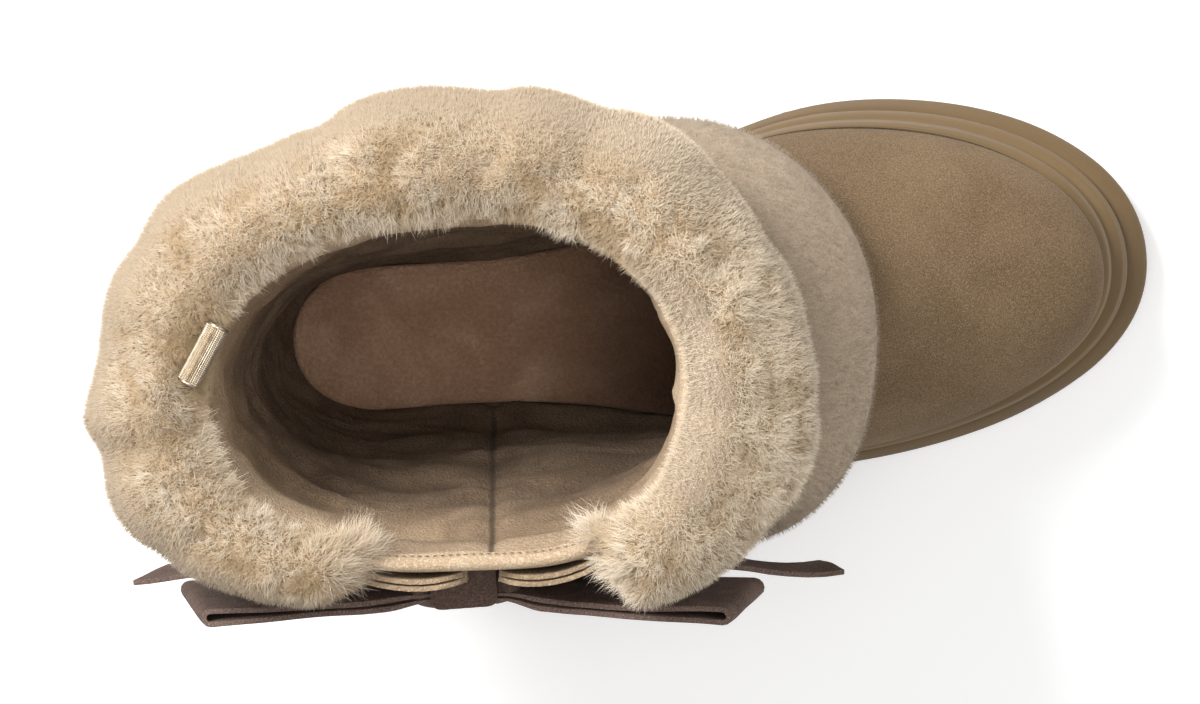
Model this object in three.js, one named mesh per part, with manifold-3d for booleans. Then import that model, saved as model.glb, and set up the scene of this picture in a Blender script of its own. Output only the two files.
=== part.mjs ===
// Right sheepskin boot with a turned-down fluffy cuff and a side bow, as separate solids.
// Millimetres, +Z up, +X towards the toe, +Y the medial side.
// The origin is on the floor, under the middle of the heel.
import * as THREE from "three";
import { mergeVertices } from "three/addons/utils/BufferGeometryUtils.js";
import Module from "manifold-3d";

const wasm = await Module();
wasm.setup();

// ---- Driving dimensions ----
const gap = 0.4; // clearance between pieces that lie on each other
const furGap = 0.7; // clearance between the fur and the upper under it
const insoleThickness = 8;
const insoleEdgeRound = 1.5;
const ribbonThickness = 1.6;
const outlinePoints = 52; // around each foot outline
const toeFullness = 2.1; // 2 is an ellipse, higher is squarer

// Height of the sole's underside and top face along the boot.
const soleHeights = [
  { x: -40, bottom: 2.5, top: 37 },
  { x: -28, bottom: 0, top: 36.8 },
  { x: 15, bottom: 0, top: 36 },
  { x: 42, bottom: 0, top: 34.2 },
  { x: 68, bottom: 3.2, top: 31.6 },
  { x: 92, bottom: 0, top: 29.2 },
  { x: 130, bottom: 0, top: 28 },
  { x: 160, bottom: 0, top: 28 },
  { x: 185, bottom: 1.6, top: 28.8 },
  { x: 215, bottom: 5.6, top: 31.2 },
  { x: 240, bottom: 10.5, top: 35 },
];

// Widest outline of the sole, seen from above. heelAt and ball..At are where heel and ball are widest on that side,
// waist.. is how far that side pulls in between them, and tipY is where the toe's tip lies.
const widestOutline = {
  back: -40, front: 240, tipY: 4, heelAt: 0, heelMed: 41, heelLat: 41,
  ballMedAt: 150, ballMed: 58.2, ballLatAt: 124, ballLat: 55.2, waistMed: 10.7, waistLat: 2,
};

// Side wall of the sole from the floor up. up is the share of the sole's height there, and inward
// the share of the way from the widest outline to the upper's edge.
const outsoleLevels = [
  { up: 0, inward: 0.12 },
  { up: 0.06, inward: 0.01 },
  { up: 0.16, inward: 0 },
  { up: 0.32, inward: 0.26 },
  { up: 0.365, inward: 0.42 },
];
const midsoleLevels = [
  { up: 0.38, inward: 0.48 },
  { up: 0.43, inward: 0.4 },
  { up: 0.5, inward: 0.39 },
  { up: 0.61, inward: 0.5 },
  { up: 0.66, inward: 0.72 },
  { up: 0.7, inward: 0.71 },
  { up: 0.8, inward: 0.7 },
  { up: 0.92, inward: 0.76 },
  { up: 1, inward: 0.92 },
];

// Tread: straight grooves across heel and forefoot, inside a plain rim.
const groove = { width: 4, pitch: 13, depth: 3, rimInward: 0.9 };
const grooveRuns = [
  { firstAt: -19.5, count: 5 },
  { firstAt: 97, count: 9 },
];

// Sections of the upper from the sole's edge up to the collar. Each lies on a plane that falls or
// rises from zBack at the heel to zFront over the toe; follow is how much it copies the sole's top.
// wall is the suede together with the wool lining it.
const upperSections = [
  { part: "edge", zBack: 37.2, zFront: 32.7, follow: 1, wall: 8.5, back: -30, front: 223, tipY: 4,
    heelAt: 2, heelMed: 31, heelLat: 31, ballMedAt: 140, ballMed: 51.4, ballLatAt: 120,
    ballLat: 44.6, waistMed: 8, waistLat: 4 },
  { part: "side wall", zBack: 50, zFront: 46, follow: 1, wall: 8.5, back: -32, front: 225, tipY: 4,
    heelAt: 3, heelMed: 33.5, heelLat: 33.5, ballMedAt: 138, ballMed: 52.2, ballLatAt: 118,
    ballLat: 46, waistMed: 6, waistLat: 3 },
  { part: "toe shoulder", zBack: 63, zFront: 58.5, follow: 0.9, wall: 8, back: -33, front: 219.5,
    tipY: 4, heelAt: 5, heelMed: 35.5, heelLat: 35.5, ballMedAt: 134, ballMed: 49.5,
    ballLatAt: 116, ballLat: 45, waistMed: 4, waistLat: 1 },
  { part: "toe top", zBack: 77, zFront: 68.5, follow: 0.6, wall: 7.5, back: -33.5, front: 203,
    tipY: 3.5, heelAt: 8, heelMed: 36.5, heelLat: 36.5, ballMedAt: 124, ballMed: 45,
    ballLatAt: 110, ballLat: 42.5, waistMed: 2, waistLat: 0 },
  { part: "vamp", zBack: 91, zFront: 78.5, follow: 0.3, wall: 7, back: -33, front: 180, tipY: 3,
    heelAt: 12, heelMed: 37, heelLat: 37, ballMedAt: 108, ballMed: 41, ballLatAt: 100,
    ballLat: 40, waistMed: 0, waistLat: 0 },
  { part: "instep", zBack: 105, zFront: 91.5, follow: 0, wall: 6.5, back: -32, front: 155, tipY: 2,
    heelAt: 18, heelMed: 38, heelLat: 38, ballMedAt: 88, ballMed: 40.5, ballLatAt: 84,
    ballLat: 40, waistMed: 0, waistLat: 0 },
  { part: "throat", zBack: 121, zFront: 110, follow: 0, wall: 6.5, back: -32, front: 131, tipY: 1,
    heelAt: 24, heelMed: 41, heelLat: 41, ballMedAt: 66, ballMed: 43, ballLatAt: 66,
    ballLat: 43, waistMed: 0, waistLat: 0 },
  { part: "ankle", zBack: 140, zFront: 135, follow: 0, wall: 6, back: -33, front: 114, tipY: 1,
    heelAt: 28, heelMed: 45, heelLat: 45, ballMedAt: 50, ballMed: 46, ballLatAt: 56,
    ballLat: 46.5, waistMed: 0, waistLat: 0 },
  { part: "shaft", zBack: 164, zFront: 162, follow: 0, wall: 6, back: -34, front: 108, tipY: 1,
    heelAt: 30, heelMed: 49, heelLat: 49, ballMedAt: 42, ballMed: 49.5, ballLatAt: 56,
    ballLat: 50, waistMed: 0, waistLat: 0 },
  { part: "collar", zBack: 188, zFront: 188, follow: 0, wall: 6, back: -34, front: 106, tipY: 1,
    heelAt: 30, heelMed: 52, heelLat: 50.5, ballMedAt: 40, ballMed: 52, ballLatAt: 57,
    ballLat: 51.5, waistMed: 0, waistLat: 0 },
];
const featherOutline = upperSections[0];
const sectionSteps = 2; // loops of the mesh for each step between two sections
const collarHeight = 188;

// Outer form of the lower fur tier, from its hem up. sideDrop lowers both sides of a section.
const furTierSeat = { low: 5.1, high: 7, step: 0.475 }; // on the upper's sections
const furTierSections = [
  { part: "lip", zBack: 96, zFront: 97, sideDrop: 18, back: -47, front: 151, tipY: 1, heelAt: 10,
    heelMed: 50, heelLat: 44, ballMedAt: 88, ballMed: 57, ballLatAt: 104, ballLat: 60 },
  { part: "hem", zBack: 98, zFront: 99.5, sideDrop: 17, back: -56, front: 157, tipY: 2, heelAt: 10,
    heelMed: 57, heelLat: 48, ballMedAt: 95, ballMed: 63, ballLatAt: 110, ballLat: 66 },
  { part: "belly", zBack: 110, zFront: 110, sideDrop: 5, back: -60, front: 155, tipY: 2, heelAt: 10,
    heelMed: 61, heelLat: 50, ballMedAt: 92, ballMed: 65, ballLatAt: 108, ballLat: 61 },
  { part: "shoulder", zBack: 125, zFront: 125, sideDrop: 0, back: -57, front: 144, tipY: 1,
    heelAt: 10, heelMed: 60, heelLat: 49, ballMedAt: 78, ballMed: 64, ballLatAt: 98, ballLat: 58 },
  { part: "fold", zBack: 137, zFront: 137, sideDrop: 0, back: -49, front: 130, tipY: 0, heelAt: 10,
    heelMed: 54, heelLat: 48, ballMedAt: 55, ballMed: 57, ballLatAt: 72, ballLat: 51.5 },
];

// Outer form of the turned-down cuff, from its lower lip over the crest to the lip over the opening.
// swell is how far a section takes part in the lobes.
const cuffSections = [
  { part: "lower lip", swell: 0.2, zBack: 141, zFront: 141, back: -56, front: 128, tipY: 0,
    heelAt: 22, heelMed: 70, heelLat: 48, ballMedAt: 45, ballMed: 72, ballLatAt: 70,
    ballLat: 51.8 },
  { part: "belly", swell: 0.9, zBack: 158, zFront: 158, back: -65, front: 138, tipY: 0,
    heelAt: 22, heelMed: 78, heelLat: 48.5, ballMedAt: 45, ballMed: 80, ballLatAt: 78,
    ballLat: 55 },
  { part: "shoulder", swell: 1, zBack: 181, zFront: 181, back: -64, front: 136.5, tipY: 0,
    heelAt: 22, heelMed: 77, heelLat: 57, ballMedAt: 45, ballMed: 79, ballLatAt: 84,
    ballLat: 65 },
  { part: "crest", swell: 0.8, zBack: 195, zFront: 195, back: -55, front: 126, tipY: 0,
    heelAt: 25, heelMed: 69, heelLat: 55, ballMedAt: 45, ballMed: 71, ballLatAt: 74,
    ballLat: 62 },
  { part: "top", swell: 0.4, zBack: 200, zFront: 200, back: -43, front: 114, tipY: 1,
    heelAt: 30, heelMed: 58, heelLat: 50, ballMedAt: 42, ballMed: 60, ballLatAt: 58,
    ballLat: 54 },
  { part: "inner lip", swell: 0.1, zBack: 193, zFront: 193, back: -31, front: 102, tipY: 1,
    heelAt: 34, heelMed: 47, heelLat: 44, ballMedAt: 40, ballMed: 47.5, ballLatAt: 50,
    ballLat: 45 },
];
// Lobes of the cuff: how far it swells out at an angle. Angles run from the toe over the medial
// side to the heel; those past 360 are on the lateral side behind the opening.
const cuffLobes = [
  { angle: 306, swell: 1 }, { angle: 318, swell: 1.7 }, { angle: 336, swell: 2.1 },
  { angle: 346, swell: 4 }, { angle: 362, swell: -0.6 }, { angle: 376, swell: -2.6 },
  { angle: 393, swell: -2.2 }, { angle: 408, swell: 2.6 }, { angle: 424, swell: 1.4 },
  { angle: 436, swell: 3 }, { angle: 444, swell: 2.2 }, { angle: 455, swell: 4.5 },
  { angle: 469, swell: -0.6 }, { angle: 478, swell: -4.8 }, { angle: 488, swell: -0.4 },
  { angle: 503, swell: 2.1 }, { angle: 516, swell: -0.6 }, { angle: 530, swell: -3.4 },
  { angle: 542, swell: 2.2 }, { angle: 553, swell: 1.2 }, { angle: 563, swell: 5 },
  { angle: 575, swell: 8 }, { angle: 592, swell: 7 }, { angle: 606, swell: 3 },
];
const lobeCentre = new THREE.Vector2(40, 5);
// The cuff leaves this stretch of the lateral side open. Near both ends its sections turn to stand
// square to the collar, over endTurn degrees.
const cuffGap = { from: 246, to: 306, endRound: 6, endTurn: 45, steps: 60, thinnest: 0.4 };

// Bow on the lateral side. The line is where its outer face runs, seen from above.
const bow = {
  knotX: 35, knotWidth: 18.5, knotDepth: 12.4, knotRound: 3, knotLow: 139, knotHigh: 164.6,
  loopLow: 131, loopHigh: 171, lean: 2,
};
const bowLine = [
  { x: -48, y: -62.7 },
  { x: -5, y: -62.9 },
  { x: 32, y: -63.5 },
  { x: 78, y: -69.4 },
  { x: 108, y: -73.4 },
  { x: 120, y: -74.8 },
];
const bowLoops = [
  { name: "bow_loop_rear", side: -1, topReach: 72.5, lowReach: 83.5 },
  { name: "bow_loop_front", side: 1, topReach: 73.5, lowReach: 82.5 },
];
// Half the distance between a loop's two layers, along the loop as a share of its length.
const loopOpening = [
  { share: 0, half: 1.4 },
  { share: 0.45, half: 1.05 },
  { share: 1, half: 1.85 },
];
// Tails run behind the loops, then swing out below them. swingFrom is a share of the tail.
const bowTails = [
  { name: "bow_tail_rear", side: -1, reach: 98.5, tipHigh: 121, tipLow: 98, tipInset: 6.4,
    swingFrom: 0.68 },
  { name: "bow_tail_front", side: 1, reach: 105.3, tipHigh: 120, tipLow: 97, tipInset: 2.4,
    swingFrom: 0.58 },
];
const tailStart = { high: 160, low: 139, inset: 8.6, sag: 6 }; // inset is inward from the bow's line

// Tabs from the cuff's ends over the gap, made of doubled suede.
const tabs = [
  { name: "tab_rear", rootX: 9, tipX: 37.4 },
  { name: "tab_front", rootX: 74, tipX: 46.2 },
];
const tabShape = { low: 166, high: 184.5, thickness: 3.2, standOff: 0.8, bow: 1 };

const barrel = {
  radius: 3.3, length: 18, chamfer: 0.6, bore: 1.2, x: -26.5, y: 15.8, z: 196.5, turn: 57, tilt: -4,
  clearance: 0.8,
};

// ---- Curves and outlines ----
const mix = (a, b, share) => a + (b - a) * share;
const smoothStep = (t) => t * t * (3 - 2 * t);

// Smooth value of one column at a place along a table.
function readTable(rows, keyOf, column, at) {
  const keys = rows.map(keyOf);
  const last = rows.length - 1;
  let i = 0;
  while (i < last - 1 && at > keys[i + 1]) i += 1;
  const value = (k) => rows[k][column] ?? 0;
  const slope = (k) => {
    const [a, b] = [Math.max(k - 1, 0), Math.min(k + 1, last)];
    return (value(b) - value(a)) / (keys[b] - keys[a]);
  };
  const span = keys[i + 1] - keys[i];
  const t = THREE.MathUtils.clamp((at - keys[i]) / span, 0, 1);
  const [t2, t3] = [t * t, t * t * t];
  return (
    (2 * t3 - 3 * t2 + 1) * value(i) + (t3 - 2 * t2 + t) * span * slope(i) +
    (3 * t2 - 2 * t3) * value(i + 1) + (t3 - t2) * span * slope(i + 1)
  );
}
const soleHeight = (column, x) =>
  readTable(soleHeights, (row) => row.x, column, THREE.MathUtils.clamp(x, -40, 240));
const solePlane = (column, x) => {
  // The underside is truly flat under heel and ball, so that the boot stands.
  const height = soleHeight(column, x);
  const flat = column === "bottom" && ((x >= -28 && x <= 42) || (x >= 92 && x <= 160));
  return flat ? 0 : Math.max(height, 0);
};
const bowY = (x) => readTable(bowLine, (row) => row.x, "y", x);

// A section between two rows of a table of sections: at is a row number with a fraction.
function sectionAt(rows, at) {
  const section = {};
  for (const column of Object.keys(rows[0])) {
    if (column !== "part") section[column] = readTable(rows, (row) => rows.indexOf(row), column, at);
  }
  return section;
}
function mixOutlines(a, b, share) {
  return Object.fromEntries(Object.keys(a).map((key) => [key, mix(a[key], b[key], share)]));
}

// Point of a foot outline at an angle: 0 is the toe's tip, 90 the medial side, 180 the heel.
function outlinePoint(outline, degrees) {
  const angle = THREE.MathUtils.degToRad(degrees);
  const x = mix(outline.back, outline.front, (1 + Math.cos(angle)) / 2);
  const medial = Math.sin(angle) >= 0;
  const [side, key] = medial ? [1, "Med"] : [-1, "Lat"];
  const ballAt = outline[`ball${key}At`];
  const ballHalf = outline[`ball${key}`];
  const heelHalf = outline[`heel${key}`];
  if (x >= ballAt) {
    const t = Math.min((x - ballAt) / (outline.front - ballAt), 1);
    const round = (1 - t ** toeFullness) ** (1 / toeFullness);
    return new THREE.Vector2(x, mix(outline.tipY, side * ballHalf, round));
  }
  if (x <= outline.heelAt) {
    const t = Math.min((outline.heelAt - x) / (outline.heelAt - outline.back), 1);
    return new THREE.Vector2(x, side * heelHalf * Math.sqrt(1 - t * t));
  }
  const t = (x - outline.heelAt) / (ballAt - outline.heelAt);
  const waist = (outline[`waist${key}`] ?? 0) * Math.sin(Math.PI * t) ** 2;
  return new THREE.Vector2(x, side * (mix(heelHalf, ballHalf, smoothStep(t)) - waist));
}
const outlineAngles = Array.from({ length: outlinePoints }, (_, i) => (i * 360) / outlinePoints);

// An outline moved inward by a distance, square to itself.
function insetPoint(outline, degrees, inset) {
  const step = 0.5;
  const along = outlinePoint(outline, degrees + step).sub(outlinePoint(outline, degrees - step));
  const inward = new THREE.Vector2(-along.y, along.x).normalize();
  return outlinePoint(outline, degrees).addScaledVector(inward, inset);
}

// ---- Solids from rings of points ----
class Solid {
  constructor() {
    this.corners = [];
    this.faces = [];
  }
  addRing(points) {
    const first = this.corners.length;
    this.corners.push(...points);
    return points.map((_, i) => first + i);
  }
  joinRings(low, high) {
    low.forEach((a, i) => {
      const next = (i + 1) % low.length;
      this.faces.push([a, low[next], high[next]], [a, high[next], high[i]]);
    });
  }
  // Closes an outline ring with strips from its medial to its lateral side.
  closeOutline(ring, facesUp) {
    const half = ring.length / 2;
    for (let i = 0; i < half; i += 1) {
      const [a, b] = [ring[i], ring[i + 1]];
      const [c, d] = [ring[(ring.length - i) % ring.length], ring[ring.length - i - 1]];
      for (const face of [[a, b, d], [a, d, c]]) {
        if (new Set(face).size === 3) this.faces.push(facesUp ? face : face.reverse());
      }
    }
  }
  closeEnd(ring, forward) {
    const middle = new THREE.Vector3();
    ring.forEach((i) => middle.add(this.corners[i]));
    const centre = this.corners.push(middle.divideScalar(ring.length)) - 1;
    ring.forEach((a, i) => {
      const b = ring[(i + 1) % ring.length];
      this.faces.push(forward ? [a, b, centre] : [b, a, centre]);
    });
  }
  geometry() {
    const made = new THREE.BufferGeometry();
    made.setAttribute("position", new THREE.Float32BufferAttribute(
      this.corners.flatMap((p) => [p.x, p.y, p.z]), 3));
    made.setIndex(this.faces.flat());
    return facingOut(made);
  }
}

function facingOut(geometry) {
  const place = geometry.getAttribute("position");
  const index = geometry.getIndex().array;
  const [a, b, c] = [new THREE.Vector3(), new THREE.Vector3(), new THREE.Vector3()];
  let volume = 0;
  for (let i = 0; i < index.length; i += 3) {
    [a, b, c].forEach((p, k) => p.fromBufferAttribute(place, index[i + k]));
    volume += a.dot(b.cross(c));
  }
  if (volume < 0) {
    for (let i = 0; i < index.length; i += 3) [index[i + 1], index[i + 2]] = [index[i + 2], index[i + 1]];
  }
  return geometry;
}

// Rings in order, the last joined to the first: a wall with two open ends.
function closedWall(rings) {
  const solid = new Solid();
  const made = rings.map((points) => solid.addRing(points));
  made.forEach((ring, i) => solid.joinRings(ring, made[(i + 1) % made.length]));
  return solid.geometry();
}

// Outline rings stacked from bottom to top, closed below and above.
function stackedOutlines(rings) {
  const solid = new Solid();
  const made = rings.map((points) => solid.addRing(points));
  made.slice(1).forEach((ring, i) => solid.joinRings(made[i], ring));
  solid.closeOutline(made[0], false);
  solid.closeOutline(made.at(-1), true);
  return solid.geometry();
}

// Closed cross-sections along a path, with both ends closed.
function sweptSections(sections) {
  const solid = new Solid();
  const made = sections.map((points) => solid.addRing(points));
  made.slice(1).forEach((ring, i) => solid.joinRings(made[i], ring));
  solid.closeEnd(made[0], false);
  solid.closeEnd(made.at(-1), true);
  return solid.geometry();
}

// A flat ribbon between an upper and a lower edge line, as thick as its material.
function ribbon(upperEdge, lowerEdge, thickness) {
  const sections = upperEdge.map((top, i) => {
    const before = upperEdge[Math.max(i - 1, 0)];
    const after = upperEdge[Math.min(i + 1, upperEdge.length - 1)];
    const across = new THREE.Vector3(after.y - before.y, before.x - after.x, 0).normalize();
    const corner = (point, side) => point.clone().addScaledVector(across, (side * thickness) / 2);
    const low = lowerEdge[i];
    return [corner(top, -1), corner(top, 1), corner(low, 1), corner(low, -1)];
  });
  return sweptSections(sections);
}

// ---- Booleans ----
function solidOf(geometry) {
  const bare = geometry.clone();
  bare.deleteAttribute("normal");
  bare.deleteAttribute("uv");
  const merged = mergeVertices(bare, 1e-4);
  return new wasm.Manifold(new wasm.Mesh({
    numProp: 3,
    vertProperties: merged.getAttribute("position").array,
    triVerts: new Uint32Array(merged.getIndex().array),
  }));
}
function geometryOf(solid) {
  const mesh = solid.getMesh();
  const made = new THREE.BufferGeometry();
  made.setAttribute("position", new THREE.BufferAttribute(mesh.vertProperties, mesh.numProp));
  made.setIndex(new THREE.BufferAttribute(mesh.triVerts, 1));
  return made;
}

// ---- Sole ----
function soleRing(level) {
  const outline = mixOutlines(widestOutline, featherOutline, level.inward);
  return outlineAngles.map((angle) => {
    const p = outlinePoint(outline, angle);
    return new THREE.Vector3(p.x, p.y, mix(solePlane("bottom", p.x), solePlane("top", p.x), level.up));
  });
}
function outsoleGeometry() {
  let solid = solidOf(stackedOutlines(outsoleLevels.map(soleRing)));
  const rim = mixOutlines(widestOutline, featherOutline, groove.rimInward);
  const rimShape = new THREE.Shape(outlineAngles.map((angle) => outlinePoint(rim, angle)));
  const treadArea = solidOf(new THREE.ExtrudeGeometry(rimShape, { depth: 40, bevelEnabled: false })
    .translate(0, 0, -10));
  for (const run of grooveRuns) {
    for (let i = 0; i < run.count; i += 1) {
      const x = run.firstAt + i * groove.pitch;
      const top = solePlane("bottom", x) + groove.depth;
      const bar = new THREE.BoxGeometry(groove.width, 140, top + 5).translate(x, 0, (top - 5) / 2);
      solid = solid.subtract(solidOf(bar).intersect(treadArea));
    }
  }
  return geometryOf(solid);
}
const midsoleGeometry = () => stackedOutlines(midsoleLevels.map(soleRing));

// ---- Upper ----
function upperPoint(at, degrees) {
  const section = sectionAt(upperSections, at);
  const p = outlinePoint(section, degrees);
  const share = (section.front - p.x) / (section.front - section.back);
  const plane = mix(section.zFront, section.zBack, share);
  const chord = mix(solePlane("top", section.front), solePlane("top", section.back), share);
  return new THREE.Vector3(p.x, p.y, plane + section.follow * (solePlane("top", p.x) - chord));
}
function upperNormal(at, degrees) {
  const step = 0.05;
  const up = upperPoint(at + step, degrees).sub(upperPoint(Math.max(at - step, 0), degrees));
  const along = upperPoint(at, degrees + 1).sub(upperPoint(at, degrees - 1));
  const normal = along.cross(up);
  if (at < 0.01 || at > upperSections.length - 1.01) normal.z = 0; // level rims
  return normal.normalize();
}
const upperRing = (at, offset) =>
  outlineAngles.map((angle) => upperPoint(at, angle).addScaledVector(upperNormal(at, angle), offset));
const wallAt = (at) => sectionAt(upperSections, at).wall;
function upperGeometry() {
  const levels = [];
  for (let i = 0; i <= (upperSections.length - 1) * sectionSteps; i += 1) levels.push(i / sectionSteps);
  const outside = levels.map((at) => upperRing(at, 0));
  const inside = levels.toReversed().map((at) => upperRing(at, -wallAt(at)));
  return closedWall([...outside, ...inside]);
}
function insoleGeometry() {
  const ring = (height, inset) => outlineAngles.map((angle) => {
    const p = insetPoint(featherOutline, angle, featherOutline.wall + gap + inset);
    return new THREE.Vector3(p.x, p.y, solePlane("top", p.x) + gap + height);
  });
  return stackedOutlines([
    ring(0, 0),
    ring(insoleThickness - insoleEdgeRound, 0),
    ring(insoleThickness, insoleEdgeRound),
  ]);
}

// ---- Fur ----
function furPoint(section, degrees) {
  const p = outlinePoint(section, degrees);
  const share = (section.front - p.x) / (section.front - section.back);
  const drop = (section.sideDrop ?? 0) * Math.sin(THREE.MathUtils.degToRad(degrees)) ** 2;
  return new THREE.Vector3(p.x, p.y, mix(section.zFront, section.zBack, share) - drop);
}
function furTierGeometry() {
  const outside = furTierSections.map((section) => outlineAngles.map((angle) => furPoint(section, angle)));
  const inside = [];
  for (let at = furTierSeat.high; at > furTierSeat.low - 0.01; at -= furTierSeat.step) {
    inside.push(upperRing(at, furGap));
  }
  return closedWall([...outside, ...inside]);
}
// A cuff section's angle on its own outline, so that both ends of the cuff are square to the collar.
function cuffAngle(section, degrees) {
  const fromEnd = Math.min(degrees - cuffGap.to, cuffGap.from + 360 - degrees);
  if (fromEnd > cuffGap.endTurn) return degrees;
  const share = smoothStep(1 - fromEnd / cuffGap.endTurn);
  const collarX = outlinePoint(upperSections.at(-1), degrees).x;
  const cosine = (2 * (collarX - section.back)) / (section.front - section.back) - 1;
  const matched = 360 - THREE.MathUtils.radToDeg(Math.acos(THREE.MathUtils.clamp(cosine, -1, 1)));
  return mix(degrees, degrees > 360 ? matched + 360 : matched, share);
}
function cuffSection(degrees, fullness) {
  const onShaft = (at, offset) =>
    upperPoint(at, degrees).addScaledVector(upperNormal(at, degrees), offset);
  const collarRow = upperSections.length - 1;
  const aboveRim = (offset) => onShaft(collarRow, offset).setZ(collarHeight + gap);
  const shaftSide = [collarRow, 8.5, 8, 7.5, 7.25].map((at) => onShaft(at, furGap));
  const rim = upperSections.at(-1).wall;
  const seat = [aboveRim(1 - rim), aboveRim(furGap), ...shaftSide.slice(1)];
  // Where each outside point goes as the cuff thins out towards its two ends.
  const thinnest = [
    shaftSide[4], shaftSide[3], shaftSide[1], aboveRim(furGap), aboveRim(-rim / 2), aboveRim(1 - rim),
  ];
  const lobe = readTable(cuffLobes, (row) => row.angle, "swell", degrees);
  const outside = cuffSections.map((section, i) => {
    const p = furPoint(section, cuffAngle(section, degrees));
    const outward = new THREE.Vector2(p.x, p.y).sub(lobeCentre).setLength(lobe * section.swell);
    return p.add(new THREE.Vector3(outward.x, outward.y, 0)).lerp(thinnest[i], 1 - fullness);
  });
  return [...outside, ...seat];
}
function cuffGeometry() {
  const span = cuffGap.from + 360 - cuffGap.to;
  const sections = [];
  for (let i = 0; i <= cuffGap.steps; i += 1) {
    const travelled = (i * span) / cuffGap.steps;
    const fromEnd = Math.min(travelled, span - travelled);
    const t = Math.min(fromEnd / cuffGap.endRound, 1);
    const share = Math.sqrt(1 - (1 - t) ** 2);
    sections.push(cuffSection(cuffGap.to + travelled, Math.max(share, cuffGap.thinnest)));
  }
  const room = barrelGeometry(barrel.clearance);
  placeBarrel(room);
  return geometryOf(solidOf(sweptSections(sections)).subtract(solidOf(room)));
}

// ---- Bow, tabs and barrel ----
function loopGeometry(loop) {
  const start = bow.knotX + loop.side * (bow.knotWidth / 2 + gap);
  const layerSteps = 8;
  const turnSteps = 6;
  const halfAt = (share) => readTable(loopOpening, (row) => row.share, "half", share);
  const round = halfAt(1);
  const edge = (reach, z, lean) => {
    const end = bow.knotX + loop.side * reach;
    const length = Math.abs(end - start) - round - ribbonThickness / 2;
    const line = []; // along the loop and out from its middle
    for (let i = 0; i <= layerSteps; i += 1) {
      line.push([(i / layerSteps) * length, halfAt(i / layerSteps)]);
    }
    const turn = [];
    for (let i = 1; i < turnSteps; i += 1) {
      const angle = Math.PI * (0.5 - i / turnSteps);
      turn.push([length + round * Math.cos(angle), round * Math.sin(angle)]);
    }
    const back = line.toReversed().map(([along, out]) => [along, -out]);
    return [...line, ...turn, ...back].map(([along, out]) => {
      const x = start + loop.side * along;
      return new THREE.Vector3(x, bowY(x) + round + ribbonThickness / 2 + lean - out, z);
    });
  };
  const top = edge(loop.topReach, bow.loopHigh, 0);
  return ribbon(top, edge(loop.lowReach, bow.loopLow, bow.lean), ribbonThickness);
}
function tailGeometry(tail) {
  const steps = 18;
  const start = bow.knotX + tail.side * (bow.knotWidth / 2 + gap);
  const end = bow.knotX + tail.side * tail.reach;
  const [high, low] = [[], []];
  for (let i = 0; i <= steps; i += 1) {
    const t = i / steps;
    const x = mix(start, end, t);
    const swing = smoothStep(Math.max(t - tail.swingFrom, 0) / (1 - tail.swingFrom));
    const y = bowY(x) + mix(tailStart.inset, tail.tipInset, swing);
    const sag = tailStart.sag * Math.sin(Math.PI * t);
    high.push(new THREE.Vector3(x, y, mix(tailStart.high, tail.tipHigh, t) - sag));
    low.push(new THREE.Vector3(x - tail.side * t * 7, y, mix(tailStart.low, tail.tipLow, t) - sag));
  }
  return ribbon(high, low, ribbonThickness);
}
function knotGeometry() {
  const shape = new THREE.Shape();
  const [w, d, round] = [bow.knotWidth / 2, bow.knotDepth / 2, bow.knotRound];
  shape.moveTo(-w, -d + round).quadraticCurveTo(-w, -d, -w + round, -d);
  shape.lineTo(w - round, -d).quadraticCurveTo(w, -d, w, -d + round);
  shape.lineTo(w, d).lineTo(-w, d);
  const depth = bow.knotHigh - bow.knotLow;
  return new THREE.ExtrudeGeometry(shape, { depth, bevelEnabled: false, curveSegments: 5 })
    .translate(bow.knotX, bowY(bow.knotX) + d, bow.knotLow);
}
function shaftSideY(x) {
  // Lateral face of the shaft at the tabs' height, found by stepping round its section.
  let nearest = upperPoint(8.6, 181);
  for (let angle = 181; angle < 360; angle += 0.5) {
    const p = upperPoint(8.6, angle);
    if (Math.abs(p.x - x) < Math.abs(nearest.x - x)) nearest = p;
  }
  return nearest.y;
}
function tabGeometry(tab) {
  const steps = 10;
  const middle = (tabShape.low + tabShape.high) / 2;
  const half = (tabShape.high - tabShape.low) / 2;
  const length = Math.abs(tab.tipX - tab.rootX);
  const [high, low] = [[], []];
  for (let i = 0; i <= steps; i += 1) {
    const t = Math.sin((i / steps) * (Math.PI / 2));
    const x = mix(tab.rootX, tab.tipX, t);
    const fromTip = Math.min(Math.abs(tab.tipX - x) / half, 1);
    const reach = half * Math.max(Math.sqrt(1 - (1 - fromTip) ** 2), 0.35);
    const lift = tabShape.standOff + tabShape.bow * Math.sin((Math.PI * Math.abs(x - tab.rootX)) / length);
    const y = shaftSideY(x) - tabShape.thickness / 2 - lift;
    high.push(new THREE.Vector3(x, y, middle + reach));
    low.push(new THREE.Vector3(x, y, middle - reach));
  }
  return ribbon(high, low, tabShape.thickness);
}
function barrelGeometry(grown) {
  const [r, half, bevel] = [barrel.radius + grown, barrel.length / 2 + grown, barrel.chamfer];
  const inner = grown > 0 ? 0 : barrel.bore;
  const profile = [
    [inner, -half], [r - bevel, -half], [r, -half + bevel],
    [r, half - bevel], [r - bevel, half], [inner, half],
  ];
  if (inner > 0) profile.push([inner, -half]);
  const made = new THREE.LatheGeometry(profile.map(([x, y]) => new THREE.Vector2(x, y)), 20);
  made.deleteAttribute("normal");
  made.deleteAttribute("uv");
  return facingOut(mergeVertices(made, 1e-3));
}
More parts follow.
